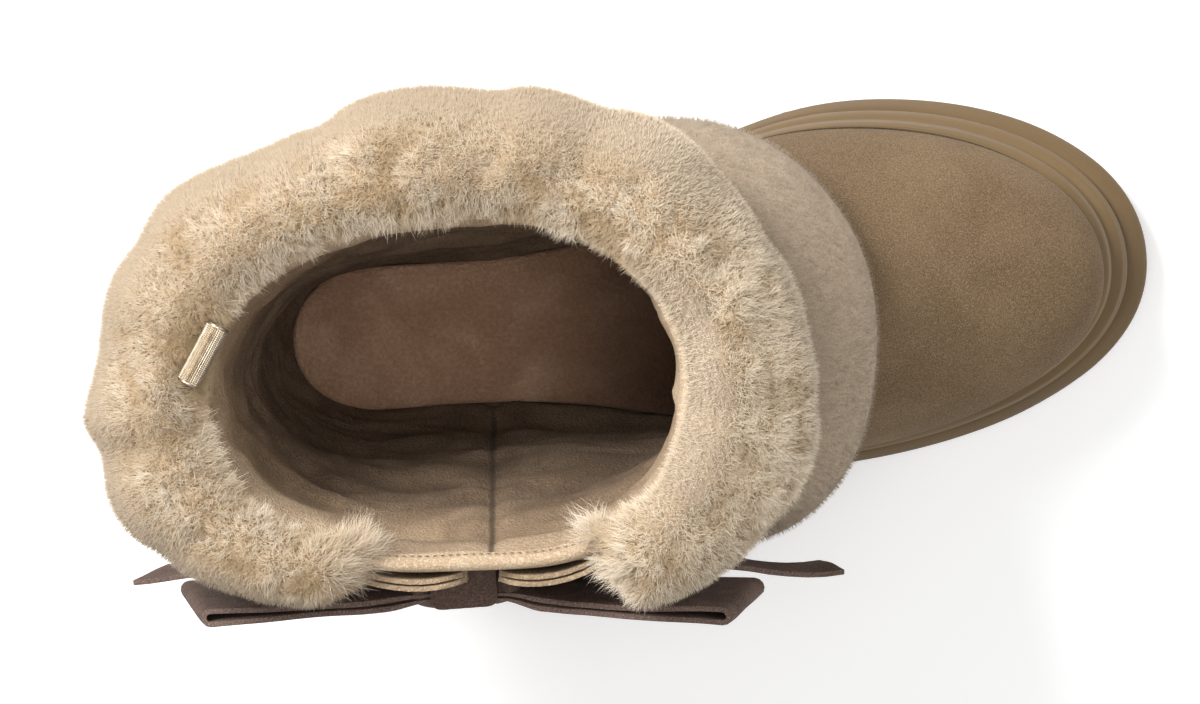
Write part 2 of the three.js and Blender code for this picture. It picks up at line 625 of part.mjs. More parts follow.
function placeBarrel(target) {
  const turn = new THREE.Matrix4().makeRotationZ(THREE.MathUtils.degToRad(barrel.turn - 90));
  const tilt = new THREE.Matrix4().makeRotationX(THREE.MathUtils.degToRad(barrel.tilt));
  const move = new THREE.Matrix4().makeTranslation(barrel.x, barrel.y, barrel.z);
  target.applyMatrix4(move.multiply(turn).multiply(tilt));
}

// ---- Assembly ----
const finishes = {
  sole: new THREE.MeshStandardMaterial({ color: 0x7a6448, roughness: 0.65 }),
  suede: new THREE.MeshStandardMaterial({ color: 0xa89070, roughness: 0.95 }),
  fur: new THREE.MeshStandardMaterial({ color: 0xd9c6a8, roughness: 1 }),
  fleece: new THREE.MeshStandardMaterial({ color: 0x7d5f4b, roughness: 1 }),
  ribbon: new THREE.MeshStandardMaterial({ color: 0x54423a, roughness: 0.95 }),
  metal: new THREE.MeshStandardMaterial({ color: 0xd8c39a, roughness: 0.3, metalness: 1 }),
};
const boot = new THREE.Group();
function addPiece(name, geometry, finish) {
  const mesh = new THREE.Mesh(geometry, finishes[finish]);
  mesh.name = name;
  boot.add(mesh);
  return mesh;
}
addPiece("outsole", outsoleGeometry(), "sole");
addPiece("midsole", midsoleGeometry(), "sole");
addPiece("upper", upperGeometry(), "suede");
addPiece("insole", insoleGeometry(), "fleece");
addPiece("fur_shaft", furTierGeometry(), "fur");
addPiece("fur_cuff", cuffGeometry(), "fur");
for (const tab of tabs) addPiece(tab.name, tabGeometry(tab), "suede");
addPiece("bow_knot", knotGeometry(), "ribbon");
for (const loop of bowLoops) addPiece(loop.name, loopGeometry(loop), "ribbon");
for (const tail of bowTails) addPiece(tail.name, tailGeometry(tail), "ribbon");
placeBarrel(addPiece("toggle_barrel", barrelGeometry(0), "metal"));

export default boot;
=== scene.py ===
import bpy
import bmesh
import math
import numpy as np
from mathutils import Matrix, Vector, kdtree, noise


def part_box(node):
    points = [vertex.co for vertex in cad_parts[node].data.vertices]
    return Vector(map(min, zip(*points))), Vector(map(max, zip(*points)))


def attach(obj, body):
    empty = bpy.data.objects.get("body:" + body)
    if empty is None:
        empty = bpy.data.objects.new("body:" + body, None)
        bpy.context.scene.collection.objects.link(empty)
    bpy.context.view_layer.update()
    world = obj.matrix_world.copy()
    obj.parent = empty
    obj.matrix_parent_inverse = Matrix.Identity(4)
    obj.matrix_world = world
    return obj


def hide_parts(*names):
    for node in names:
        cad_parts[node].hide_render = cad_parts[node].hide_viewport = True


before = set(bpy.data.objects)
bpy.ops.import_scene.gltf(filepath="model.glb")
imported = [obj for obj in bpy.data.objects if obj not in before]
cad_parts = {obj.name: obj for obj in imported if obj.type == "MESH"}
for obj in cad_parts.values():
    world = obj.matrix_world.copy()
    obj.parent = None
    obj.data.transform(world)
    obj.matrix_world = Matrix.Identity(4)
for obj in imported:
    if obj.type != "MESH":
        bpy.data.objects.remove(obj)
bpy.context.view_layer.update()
print("frame loaded")

# Camera, light and floor.
studio = {
    "cameraPlace": (0.143, 0.145, 1.4), "cameraTarget": (0.0696, -0.0142, 0.0), "roll": 4.5,
    "lens": 136.08, "worldStrength": 0.41, "floorColour": (0.9, 0.9, 0.9), "floorGlow": 0.28,
    "floorSize": 6.0, "lightTarget": (0.08, 0.0, 0.1),
}
lights = {  # place, size and power
    "keyLight": ((-0.66, 0.92, 1.36), 0.7, 39.0),
    "frontLight": ((1.25, 0.35, 1.2), 0.9, 4.8),
    "topLight": ((0.1, 0.0, 1.9), 0.8, 8.5),
}


def aimedMatrix(place, target, rollDegrees):
    forward = (Vector(target) - Vector(place)).normalized()
    turn = math.radians(rollDegrees)
    right = Vector((math.cos(turn), -math.sin(turn), 0.0))
    right = (right - forward * right.dot(forward)).normalized()
    up = right.cross(forward)
    matrix = Matrix((right, up, -forward)).transposed().to_4x4()
    matrix.translation = Vector(place)
    return matrix


cameraData = bpy.data.cameras.new("camera")
cameraData.lens = studio["lens"]
cameraData.sensor_width = 36.0
cameraData.clip_end = 20.0
camera = bpy.data.objects.new("camera", cameraData)
camera.matrix_world = aimedMatrix(studio["cameraPlace"], studio["cameraTarget"], studio["roll"])
bpy.context.scene.collection.objects.link(camera)
bpy.context.scene.camera = camera
bpy.context.scene.view_settings.view_transform = "Standard"

for name, (place, size, power) in lights.items():
    lightData = bpy.data.lights.new(name, "AREA")
    lightData.size = size
    lightData.energy = power
    light = bpy.data.objects.new(name, lightData)
    light.matrix_world = aimedMatrix(place, studio["lightTarget"], 0.0)
    bpy.context.scene.collection.objects.link(light)

world = bpy.data.worlds.new("studioAir")
bpy.context.scene.world = world
world.use_nodes = True
world.node_tree.nodes["Background"].inputs["Color"].default_value = (1.0, 1.0, 1.0, 1.0)
world.node_tree.nodes["Background"].inputs["Strength"].default_value = studio["worldStrength"]


# Material helpers.
def newMaterial(name, roughness, sheen=0.0, sheenTint=(1.0, 1.0, 1.0)):
    material = bpy.data.materials.new(name)
    material.use_nodes = True
    shader = material.node_tree.nodes["Principled BSDF"]
    shader.inputs["Roughness"].default_value = roughness
    shader.inputs["Sheen Weight"].default_value = sheen
    shader.inputs["Sheen Roughness"].default_value = 0.45
    shader.inputs["Sheen Tint"].default_value = (*sheenTint, 1.0)
    shader.inputs["Specular IOR Level"].default_value = 0.25
    return material, material.node_tree, shader


def mixColour(tree, factor, low, high):
    node = tree.nodes.new("ShaderNodeMix")
    node.data_type = "RGBA"
    for socket, value in ((node.inputs[0], factor), (node.inputs[6], low), (node.inputs[7], high)):
        if isinstance(value, bpy.types.NodeSocket):
            tree.links.new(value, socket)
        elif isinstance(value, (tuple, list)):
            socket.default_value = (*value, 1.0)
        else:
            socket.default_value = value
    return node.outputs[2]


def calc(tree, operation, first, second=0.0, third=0.0):
    node = tree.nodes.new("ShaderNodeMath")
    node.operation = operation
    for socket, value in zip(node.inputs, (first, second, third)):
        if isinstance(value, bpy.types.NodeSocket):
            tree.links.new(value, socket)
        else:
            socket.default_value = value
    return node.outputs[0]


def blend(tree, first, second, share):
    return calc(tree, "MULTIPLY_ADD", first, share, calc(tree, "MULTIPLY", second, 1.0 - share))


def splitVector(tree, vector):
    node = tree.nodes.new("ShaderNodeSeparateXYZ")
    tree.links.new(vector, node.inputs[0])
    return node.outputs


def spread(tree, value, low, high, outLow=0.0, outHigh=1.0):
    node = tree.nodes.new("ShaderNodeMapRange")
    node.interpolation_type = "SMOOTHSTEP"
    tree.links.new(value, node.inputs["Value"])
    for name, number in (("From Min", low), ("From Max", high), ("To Min", outLow), ("To Max", outHigh)):
        node.inputs[name].default_value = number
    return node.outputs["Result"]


def noiseValue(tree, vector, scale, detail=2.0, roughness=0.5, distortion=0.0):
    node = tree.nodes.new("ShaderNodeTexNoise")
    tree.links.new(vector, node.inputs["Vector"])
    node.inputs["Scale"].default_value = scale
    node.inputs["Detail"].default_value = detail
    node.inputs["Roughness"].default_value = roughness
    node.inputs["Distortion"].default_value = distortion
    return node.outputs["Fac"]


def addBump(tree, shader, height, strength, distance):
    bump = tree.nodes.new("ShaderNodeBump")
    bump.inputs["Strength"].default_value = strength
    bump.inputs["Distance"].default_value = distance
    tree.links.new(height, bump.inputs["Height"])
    tree.links.new(bump.outputs["Normal"], shader.inputs["Normal"])


# Nap of suede: tiny upstanding fibres and the soft patches where they have been brushed one way.
def makeNapGroup():
    group = bpy.data.node_groups.new("napPattern", "ShaderNodeTree")
    for name, way, kind in (("Vector", "INPUT", "Vector"), ("Fibre Scale", "INPUT", "Float"),
                            ("Patch Scale", "INPUT", "Float"), ("Fibre", "OUTPUT", "Float"),
                            ("Patch", "OUTPUT", "Float")):
        group.interface.new_socket(name, in_out=way, socket_type="NodeSocket" + kind)
    entry = group.nodes.new("NodeGroupInput")
    leave = group.nodes.new("NodeGroupOutput")
    fibre = group.nodes.new("ShaderNodeTexNoise")
    fibre.inputs["Detail"].default_value = 3.0
    fibre.inputs["Roughness"].default_value = 0.65
    patch = group.nodes.new("ShaderNodeTexNoise")
    patch.inputs["Detail"].default_value = 3.0
    patch.inputs["Distortion"].default_value = 0.6
    for made, scale in ((fibre, "Fibre Scale"), (patch, "Patch Scale")):
        group.links.new(entry.outputs["Vector"], made.inputs["Vector"])
        group.links.new(entry.outputs[scale], made.inputs["Scale"])
    group.links.new(spread(group, fibre.outputs["Fac"], 0.32, 0.68), leave.inputs["Fibre"])
    group.links.new(spread(group, patch.outputs["Fac"], 0.35, 0.65), leave.inputs["Patch"])
    return group


napGroup = makeNapGroup()


def napOutputs(tree, vector, fibreScale, patchScale):
    node = tree.nodes.new("ShaderNodeGroup")
    node.node_tree = napGroup
    tree.links.new(vector, node.inputs["Vector"])
    node.inputs["Fibre Scale"].default_value = fibreScale
    node.inputs["Patch Scale"].default_value = patchScale
    return node.outputs["Fibre"], node.outputs["Patch"]


def objectVector(tree):
    return tree.nodes.new("ShaderNodeTexCoord").outputs["Object"]


# Finishes.
def suedeMaterial(name, look):
    material, tree, shader = newMaterial(name, 0.95, look["sheen"], look["light"])
    vector = objectVector(tree)
    fibre, patch = napOutputs(tree, vector, look["fibreScale"], look["patchScale"])
    tone = blend(tree, fibre, patch, look["fibreShare"])
    tree.links.new(mixColour(tree, tone, look["dark"], look["light"]), shader.inputs["Base Color"])
    addBump(tree, shader, fibre, look["bump"], 0.0004)
    return material


suedeColumns = ("dark", "light", "sheen", "fibreScale", "patchScale", "fibreShare", "bump")
suedeLooks = {
    "tanSuede": ((0.138, 0.086, 0.040), (0.392, 0.268, 0.153), 0.02, 2500.0, 30.0, 0.8, 1.0),
    "bandSuede": ((0.45, 0.315, 0.195), (0.80, 0.62, 0.43), 0.2, 1700.0, 90.0, 0.75, 0.8),
    "tabSuede": ((0.29, 0.195, 0.115), (0.62, 0.465, 0.31), 0.1, 1700.0, 90.0, 0.75, 0.9),
    "brownSuede": ((0.058, 0.036, 0.027), (0.19, 0.128, 0.102), 0.2, 1700.0, 60.0, 0.7, 0.8),
    "cutSuedeEdge": ((0.10, 0.066, 0.052), (0.33, 0.23, 0.19), 0.2, 2100.0, 60.0, 0.8, 0.9),
    "darkSeam": ((0.035, 0.024, 0.016), (0.10, 0.07, 0.045), 0.0, 2100.0, 60.0, 0.8, 0.5),
    "collarThread": ((0.16, 0.11, 0.07), (0.30, 0.22, 0.15), 0.0, 2100.0, 60.0, 0.8, 0.5),
}
tanSuede, bandSuede, tabSuede, brownSuede, cutEdge, darkSeam, collarThread = (
    suedeMaterial(name, dict(zip(suedeColumns, row))) for name, row in suedeLooks.items())

liningLook = {
    "wool": (0.098, 0.062, 0.037), "woolLight": (0.235, 0.163, 0.105),
    "facing": (0.25, 0.170, 0.104), "facingLight": (0.46, 0.33, 0.213),
    "facingFrom": 0.137, "facingTo": 0.177, "seam": (0.05, 0.036, 0.026), "seamShare": 0.75,
    "rim": (0.36, 0.255, 0.162), "rimLight": (0.66, 0.50, 0.345), "rimFrom": 0.165, "rimTo": 0.181,
}
upperShape = {"creaseDepth": 0.0017, "seamDepth": 0.0016, "seamX": 0.0435, "rimFrom": 0.1845}


def liningMaterial():
    material, tree, shader = newMaterial("liningWool", 0.97, 0.06, (0.8, 0.66, 0.52))
    vector = objectVector(tree)
    fibre, patch = napOutputs(tree, vector, 1300.0, 55.0)
    parts = splitVector(tree, vector)
    wander = noiseValue(tree, vector, 22.0, 3.0)
    height = calc(tree, "MULTIPLY_ADD", wander, 0.018, parts["Z"])
    medialShade = calc(tree, "MULTIPLY", spread(tree, parts["Y"], 0.0, 0.03),
                  spread(tree, parts["X"], -0.02, 0.04))
    height = calc(tree, "MULTIPLY_ADD", medialShade, -0.06, height)  # painted shade: the facing is shorter on the medial side, so the lining under the fur edge there stays dark
    seamAt = calc(tree, "MULTIPLY_ADD", parts["Z"], -0.05, parts["X"])
    fromSeam = calc(tree, "ABSOLUTE", calc(tree, "SUBTRACT", seamAt, upperShape["seamX"] - 0.0075))
    seam = calc(tree, "MULTIPLY", spread(tree, fromSeam, 0.0002, 0.0014, 1.0, 0.0),
                spread(tree, parts["Y"], -0.03, -0.02, 1.0, 0.0))
    facing = spread(tree, height, liningLook["facingFrom"], liningLook["facingTo"])
    tone = blend(tree, fibre, patch, 0.5)
    wool = mixColour(tree, tone, liningLook["wool"], liningLook["woolLight"])
    suede = mixColour(tree, tone, liningLook["facing"], liningLook["facingLight"])
    cloth = mixColour(tree, facing, wool, suede)
    band = mixColour(tree, tone, liningLook["rim"], liningLook["rimLight"])
    nearRim = spread(tree, parts["Z"], liningLook["rimFrom"], liningLook["rimTo"])
    cloth = mixColour(tree, nearRim, cloth, band)
    cloth = mixColour(tree, calc(tree, "MULTIPLY", seam, liningLook["seamShare"]), cloth, liningLook["seam"])
    tree.links.new(cloth, shader.inputs["Base Color"])
    addBump(tree, shader, fibre, 0.6, 0.0005)
    return material


liningWool = liningMaterial()

# The toe colour and its span paint shade into the footbed where the toe cavity lies in shadow.
shearlingLook = {
    "dark": (0.42, 0.235, 0.14), "light": (0.68, 0.42, 0.275), "toe": (0.07, 0.034, 0.016), "toeFrom": 0.035,
    "toeTo": 0.1,
}


def shearlingMaterial():
    material, tree, shader = newMaterial("shearlingFootbed", 1.0, 0.2, (0.9, 0.7, 0.6))
    vector = objectVector(tree)
    fibre, patch = napOutputs(tree, vector, 900.0, 38.0)
    tone = blend(tree, fibre, patch, 0.4)
    parts = splitVector(tree, vector)
    # Painted shade: the footbed is darkened towards the toe, inside the shadowed toe cavity.
    toeward = spread(tree, parts["X"], shearlingLook["toeFrom"], shearlingLook["toeTo"], 0.0, 0.9)
    pile = mixColour(tree, tone, shearlingLook["dark"], shearlingLook["light"])
    tree.links.new(mixColour(tree, toeward, pile, shearlingLook["toe"]), shader.inputs["Base Color"])
    addBump(tree, shader, fibre, 0.8, 0.0008)
    return material


shearling = shearlingMaterial()


def rubberMaterial(name, dark, light):
    material, tree, shader = newMaterial(name, 0.62)
    shader.inputs["Specular IOR Level"].default_value = 0.35
    vector = objectVector(tree)
    grain = noiseValue(tree, vector, 2600.0, 2.0, 0.6)
    patch = noiseValue(tree, vector, 30.0, 3.0)
    tone = spread(tree, blend(tree, grain, patch, 0.35), 0.35, 0.65)
    tree.links.new(mixColour(tree, tone, dark, light), shader.inputs["Base Color"])
    rough = spread(tree, patch, 0.3, 0.7, 0.56, 0.7)
    tree.links.new(rough, shader.inputs["Roughness"])
    addBump(tree, shader, grain, 0.25, 0.0002)
    return material


soleRubber = rubberMaterial("soleRubber", (0.130, 0.081, 0.034), (0.158, 0.100, 0.044))
soleFoam = rubberMaterial("soleFoam", (0.148, 0.093, 0.040), (0.176, 0.114, 0.052))

goldLook = {"dark": (0.43, 0.355, 0.265), "light": (0.52, 0.44, 0.335), "smooth": 0.30, "rough": 0.42}


def goldMaterial():
    material, tree, shader = newMaterial("paleGold", goldLook["smooth"])
    shader.inputs["Metallic"].default_value = 1.0
    vector = objectVector(tree)
    wear = noiseValue(tree, vector, 700.0, 3.0)
    tone = spread(tree, wear, 0.35, 0.65)
    tree.links.new(mixColour(tree, tone, goldLook["dark"], goldLook["light"]), shader.inputs["Base Color"])
    rough = spread(tree, wear, 0.3, 0.7, goldLook["smooth"], goldLook["rough"])
    tree.links.new(rough, shader.inputs["Roughness"])
    return material


paleGold = goldMaterial()


# Under-fur: what shows between the strands.
def underFurMaterial(name, look):
    material, tree, shader = newMaterial(name, 1.0, 0.15, (1.0, 0.93, 0.82))
    vector = objectVector(tree)
    held = tree.nodes.new("ShaderNodeAttribute")
    held.attribute_name = "openPile"
    fine = noiseValue(tree, vector, 1900.0, 3.0, 0.7)
    clump = noiseValue(tree, vector, 230.0, 3.0, 0.6)
    grain = spread(tree, fine, 0.3, 0.7)
    patch = spread(tree, blend(tree, fine, clump, 0.4), 0.40, 0.62)
    closed = mixColour(tree, grain, look["closedDark"], look["closedLight"])
    opened = mixColour(tree, patch, look["openDark"], look["openLight"])
    tree.links.new(mixColour(tree, held.outputs["Fac"], closed, opened), shader.inputs["Base Color"])
    addBump(tree, shader, fine, 0.5, 0.0006)
    return material


# Strands carry a colour attribute: red runs from root to tip, green is a random tone with painted light on
# the front of the cuff and painted shade in hollows, blue is how open the pile is there, and alpha is how
# deep the strand stands in a hollow between clumps, used to darken its tip as painted shade.
def strandMaterial(name, look):
    material, tree, shader = newMaterial(name, 0.9, look["sheen"], (1.0, 0.93, 0.82))
    held = tree.nodes.new("ShaderNodeAttribute")
    held.attribute_name = "strand"
    parts = splitVector(tree, held.outputs["Vector"])
    vector = objectVector(tree)
    patch = spread(tree, noiseValue(tree, vector, look["patchScale"], 3.0), 0.35, 0.65)
    along = spread(tree, parts["X"], 0.0, 1.0)
    root = mixColour(tree, parts["Z"], look["closedRoot"], look["openRoot"])
    tip = mixColour(tree, patch, look["tip"], look["tipPale"])
    tip = mixColour(tree, parts["Z"], look["closedTip"], tip)
    # Painted light: the green channel carries the paler front of the cuff, which mixes the tips towards the
    # bright colour.
    share = calc(tree, "MULTIPLY_ADD", parts["Z"], 0.8, 0.15)
    bright = calc(tree, "MULTIPLY", parts["Y"], share)
    tip = mixColour(tree, bright, tip, look["tipBright"])
    # Painted light: tips towards the front of the cuff are mixed towards a pale colour, so that side looks
    # lit.
    paintedLit = spread(tree, splitVector(tree, vector)["X"], 0.06, 0.115, 0.0, look["paintedLitShare"])
    tip = mixColour(tree, paintedLit, tip, look["paintedLitTip"])
    # Painted shade: tips of strands deep in hollows and round the barrel are mixed towards a darker colour.
    tip = mixColour(tree, calc(tree, "MULTIPLY", held.outputs["Alpha"], 0.7), tip, look["deepShade"])
    tree.links.new(mixColour(tree, along, root, tip), shader.inputs["Base Color"])
    return material


cuffUnderLook = {
    "closedDark": (0.345, 0.263, 0.18), "closedLight": (0.445, 0.355, 0.258),
    "openDark": (0.31, 0.20, 0.095), "openLight": (0.68, 0.53, 0.36),
}
bandUnderLook = {
    "closedDark": (0.33, 0.25, 0.175), "closedLight": (0.45, 0.355, 0.26),
    "openDark": (0.40, 0.29, 0.19), "openLight": (0.56, 0.45, 0.32),
}
cuffStrandLook = {
    "openRoot": (0.46, 0.32, 0.175), "closedRoot": (0.39, 0.30, 0.205), "deepShade": (0.44, 0.30, 0.155),
    "tip": (0.54, 0.43, 0.30), "tipPale": (0.62, 0.505, 0.37), "tipBright": (0.92, 0.82, 0.68),
    "closedTip": (0.46, 0.365, 0.265), "paintedLitTip": (0.97, 0.84, 0.65), "paintedLitShare": 0.75,
    "patchScale": 45.0, "sheen": 0.15,
}
bandStrandLook = {
    "openRoot": (0.36, 0.28, 0.20), "closedRoot": (0.38, 0.30, 0.215), "deepShade": (0.3, 0.2, 0.12),
    "tip": (0.40, 0.31, 0.22), "tipPale": (0.46, 0.365, 0.265), "tipBright": (0.56, 0.46, 0.35),
    "closedTip": (0.42, 0.325, 0.235), "paintedLitTip": (0.40, 0.31, 0.22), "paintedLitShare": 0.0,
    "patchScale": 30.0, "sheen": 0.15,
}
cuffUnder = underFurMaterial("cuffUnderFur", cuffUnderLook)
bandUnder = underFurMaterial("bandUnderFur", bandUnderLook)
cuffStrands = strandMaterial("cuffStrands", cuffStrandLook)
bandStrands = strandMaterial("bandStrands", bandStrandLook)
print("finishes made")


# Mesh helpers.
def addPiece(name, mesh, materials, node=None):
    piece = bpy.data.objects.new(name, mesh)
    bpy.context.scene.collection.objects.link(piece)
    mesh.materials.clear()
    for material in materials:
        mesh.materials.append(material)
    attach(piece, "root")
    if node:
        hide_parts(*([node] if isinstance(node, str) else node))
    return piece


# A solid's own mesh, welded, with its triangles paired into quads.
def weldedCopy(node, pair=True):
    work = bmesh.new()
    work.from_mesh(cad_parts[node].data)
    bmesh.ops.remove_doubles(work, verts=work.verts, dist=2e-5)
    if pair:
        bmesh.ops.join_triangles(work, faces=work.faces, angle_face_threshold=math.radians(60),
                                 angle_shape_threshold=math.radians(80))
    return work


def toMesh(work, name, smooth=True):
    mesh = bpy.data.meshes.new(name)
    work.to_mesh(mesh)
    work.free()
    if "custom_normal" in mesh.attributes:
        mesh.attributes.remove(mesh.attributes["custom_normal"])
    mesh.shade_smooth() if smooth else mesh.shade_flat()
    return mesh


# The finished mesh of a holder with a modifier or a curve in it.
def bakedMesh(holder, name):
    bpy.context.scene.collection.objects.link(holder)
    now = bpy.context.evaluated_depsgraph_get()
    made = bpy.data.meshes.new_from_object(holder.evaluated_get(now), depsgraph=now)
    bpy.data.objects.remove(holder)
    made.name = name
    made.shade_smooth()
    return made


# Subdivision baked into the mesh, so that points can then be moved one by one.
def smoothedMesh(mesh, levels):
    holder = bpy.data.objects.new("holder", mesh)
    smoother = holder.modifiers.new("smooth", "SUBSURF")
    smoother.levels = smoother.render_levels = levels
    return bakedMesh(holder, mesh.name)


def roundEdges(work, offset):
    edges = [edge for edge in work.edges if len(edge.link_faces) == 2 and edge.calc_face_angle(0.0) > 1.0]
    bmesh.ops.bevel(work, geom=edges, offset=offset, offset_type="OFFSET", segments=2,
                    profile=0.5, affect="EDGES", clamp_overlap=True, material=-1)


def sliceAt(work, place, direction):
    bmesh.ops.bisect_plane(work, geom=[*work.verts, *work.edges, *work.faces], dist=1e-6,
                           plane_co=place, plane_no=direction)


def unit(vectors):
    return vectors / np.linalg.norm(vectors, axis=-1, keepdims=True)


def readPoints(mesh):
    places = np.empty(len(mesh.vertices) * 3, np.float32)
    mesh.vertices.foreach_get("co", places)
    normals = np.empty(len(mesh.vertices) * 3, np.float32)
    mesh.vertex_normals.foreach_get("vector", normals)
    return places.reshape(-1, 3).astype(float), normals.reshape(-1, 3).astype(float)


def readFaces(mesh):
    values = []
    for name in ("center", "normal"):
        row = np.empty(len(mesh.polygons) * 3, np.float32)
        mesh.polygons.foreach_get(name, row)
        values.append(row.reshape(-1, 3).astype(float))
    return values


def writePoints(mesh, places):
    mesh.vertices.foreach_set("co", places.astype(np.float32).ravel())
    mesh.update()


def noiseAt(places, scale, seed=0.0):
    shift = Vector((seed, seed * 1.7, seed * 0.3))
    return np.array([noise.noise(Vector(p) * scale + shift) for p in places])


def smoothStep(low, high, value):
    t = np.clip((value - low) / (high - low), 0.0, 1.0)
    return t * t * (3.0 - 2.0 * t)


# Rows of points below a cap, row by row: the first is the cap's own edge.
def rowsBelow(work, isCap, count):
    row = {vert for face in work.faces if isCap(face) for vert in face.verts}
    seen, rows = set(row), [row]
    for _ in range(count):
        row = {edge.other_vert(vert) for vert in row for edge in vert.link_edges} - seen
        seen |= row
        rows.append(row)
    return rows


def creaseRows(work, rows, amount):
    layer = work.edges.layers.float.get("crease_edge") or work.edges.layers.float.new("crease_edge")
    for row in rows:
        for edge in work.edges:
            if edge.verts[0] in row and edge.verts[1] in row:
                edge[layer] = amount


# Loops of points where the faces that pass the test meet the others, the widest loop first.
def borderLoops(work, isCap):
    caps = {face for face in work.faces if isCap(face)}
    work.edges.index_update()
    border = {edge for edge in work.edges if sum(face in caps for face in edge.link_faces) == 1}
    loops = []
    while border:
        edge = min(border, key=lambda item: item.index)  # the same start in every run
        border.discard(edge)
        vert, start = edge.verts
        points = [start.co.copy(), vert.co.copy()]
        while True:
            nextEdge = next((e for e in vert.link_edges if e in border), None)
            if nextEdge is None:
                break
            border.discard(nextEdge)
            vert = nextEdge.other_vert(vert)
            if vert is start:
                break
            points.append(vert.co.copy())
        loops.append(points)
    return sorted(loops, key=lambda loop: max(p.x for p in loop) - min(p.x for p in loop), reverse=True)


# Sole.
soleShape = {"ridgeRows": 9, "ridgeCrease": 0.55, "sideRows": 4, "sideCrease": 0.3}


def isTopCap(face):
    return face.normal.z > 0.9 and min(vert.co.z for vert in face.verts) > 0.008


def buildMidsole():
    work = weldedCopy("midsole")
    creaseRows(work, rowsBelow(work, isTopCap, soleShape["ridgeRows"]), soleShape["ridgeCrease"])
    mesh = smoothedMesh(toMesh(work, "midsoleBeads"), 2)
    return addPiece("midsoleBeads", mesh, [soleFoam], "midsole")


# The side band is smoothed; the tread under it keeps its straight grooves.
def splitOutsole(keepSide):
    work = weldedCopy("outsole")
    rows = rowsBelow(work, isTopCap, soleShape["sideRows"])
    kept = set().union(*rows)
    side = [face for face in work.faces if all(vert in kept for vert in face.verts)
            and not all(vert in rows[-1] for vert in face.verts)]
    unwanted = [face for face in work.faces if face not in side] if keepSide else side
    bmesh.ops.delete(work, geom=unwanted, context="FACES")
    return work, rows


def buildOutsole():
    band, rows = splitOutsole(True)
    creaseRows(band, rows[:3], soleShape["sideCrease"])
    side = smoothedMesh(toMesh(band, "outsoleSide"), 2)
    work, _ = splitOutsole(False)
    for face in work.faces:
        face.smooth = False
    work.from_mesh(side)
    bpy.data.meshes.remove(side)
    mesh = bpy.data.meshes.new("outsoleTread")
    work.to_mesh(mesh)
    work.free()
    return addPiece("outsoleTread", mesh, [soleRubber], "outsole")


buildMidsole()
buildOutsole()
print("sole built")


# Positive where a point of the upper faces the foot.
def isInside(places, normals):
    centre = np.where(places[:, 2:3] < 0.112,
                      np.stack([np.clip(places[:, 0], 0.0, 0.15), np.full(len(places), 0.003),
                                np.full(len(places), 0.045)], axis=1),
                      np.stack([np.full(len(places), 0.036), np.zeros(len(places)), places[:, 2]], axis=1))
    return np.einsum("ij,ij->i", normals, centre - places)


def buildUpper():
    mesh = smoothedMesh(toMesh(weldedCopy("upper"), "upperShell"), 2)
    places, normals = readPoints(mesh)
    inside = smoothStep(0.0, 0.004, isInside(places, normals))
    below = 1.0 - smoothStep(0.178, 0.187, places[:, 2])
    # Creases of the lining, mostly lying round the ankle.
    stretched = places * np.array([0.55, 0.8, 1.5])
    crease = 1.0 - np.abs(noiseAt(stretched, 34.0, 3.0)) * 3.0
    crease += 0.6 * (1.0 - np.abs(noiseAt(stretched, 75.0, 9.0)) * 3.0)
    move = inside * below * np.clip(crease, -1.0, 1.6) * upperShape["creaseDepth"]
    seam = np.exp(-((places[:, 0] - upperShape["seamX"] - 0.05 * (places[:, 2] - 0.15)) / 0.0022) ** 2)
    seam *= smoothStep(0.01, 0.02, -places[:, 1]) * inside * below
    move -= seam * upperShape["seamDepth"]
    # The suede outside has soft hollows and swells.
    height = places[:, 2]
    outside = (1.0 - inside) * smoothStep(0.04, 0.06, height) * (1.0 - smoothStep(0.17, 0.185, height))
    move += outside * (0.0006 * noiseAt(places, 28.0, 5.0) + 0.0002 * noiseAt(places, 90.0, 2.0))
    centres, facing = readFaces(mesh)
    slots = np.where(isInside(centres, facing) > 0.0, 1, 0)
    slots = np.where(centres[:, 2] > upperShape["rimFrom"], 2, slots)
    writePoints(mesh, places + normals * move[:, None])
    piece = addPiece("upperShell", mesh, [tanSuede, liningWool, bandSuede], "upper")
    mesh.polygons.foreach_set("material_index", slots.astype(np.int32))
    return piece


footbedShape = {"swell": 0.0006, "grain": 0.0003}


def buildInsole():
    mesh = smoothedMesh(toMesh(weldedCopy("insole"), "footbed"), 2)
    places, normals = readPoints(mesh)
    top = smoothStep(0.6, 0.9, normals[:, 2])
    lift = footbedShape["swell"] * noiseAt(places, 60.0, 1.0)
    lift += footbedShape["grain"] * noiseAt(places, 260.0, 4.0)
    places[:, 2] += top * lift
    writePoints(mesh, places)
    return addPiece("footbed", mesh, [shearling], "insole")


seamShape = {
    "thick": 0.0004, "stitch": 0.0014, "step": 0.0021, "stitchThick": 0.00017, "stitchHeight": 0.1863,
    "stitchesTo": -0.028,
}


# A thin round cord along a closed loop of points.
def seamMesh(name, points, thick):
    curve = bpy.data.curves.new(name, "CURVE")
    curve.dimensions = "3D"
    curve.bevel_depth = thick
    curve.bevel_resolution = 1
    curve.resolution_u = 4
    spline = curve.splines.new("NURBS")
    spline.points.add(len(points) - 1)
    for spot, point in zip(spline.points, points):
        spot.co = (*point, 1.0)
    spline.use_cyclic_u = True
    spline.order_u = 4
    return bakedMesh(bpy.data.objects.new(name, curve), name)


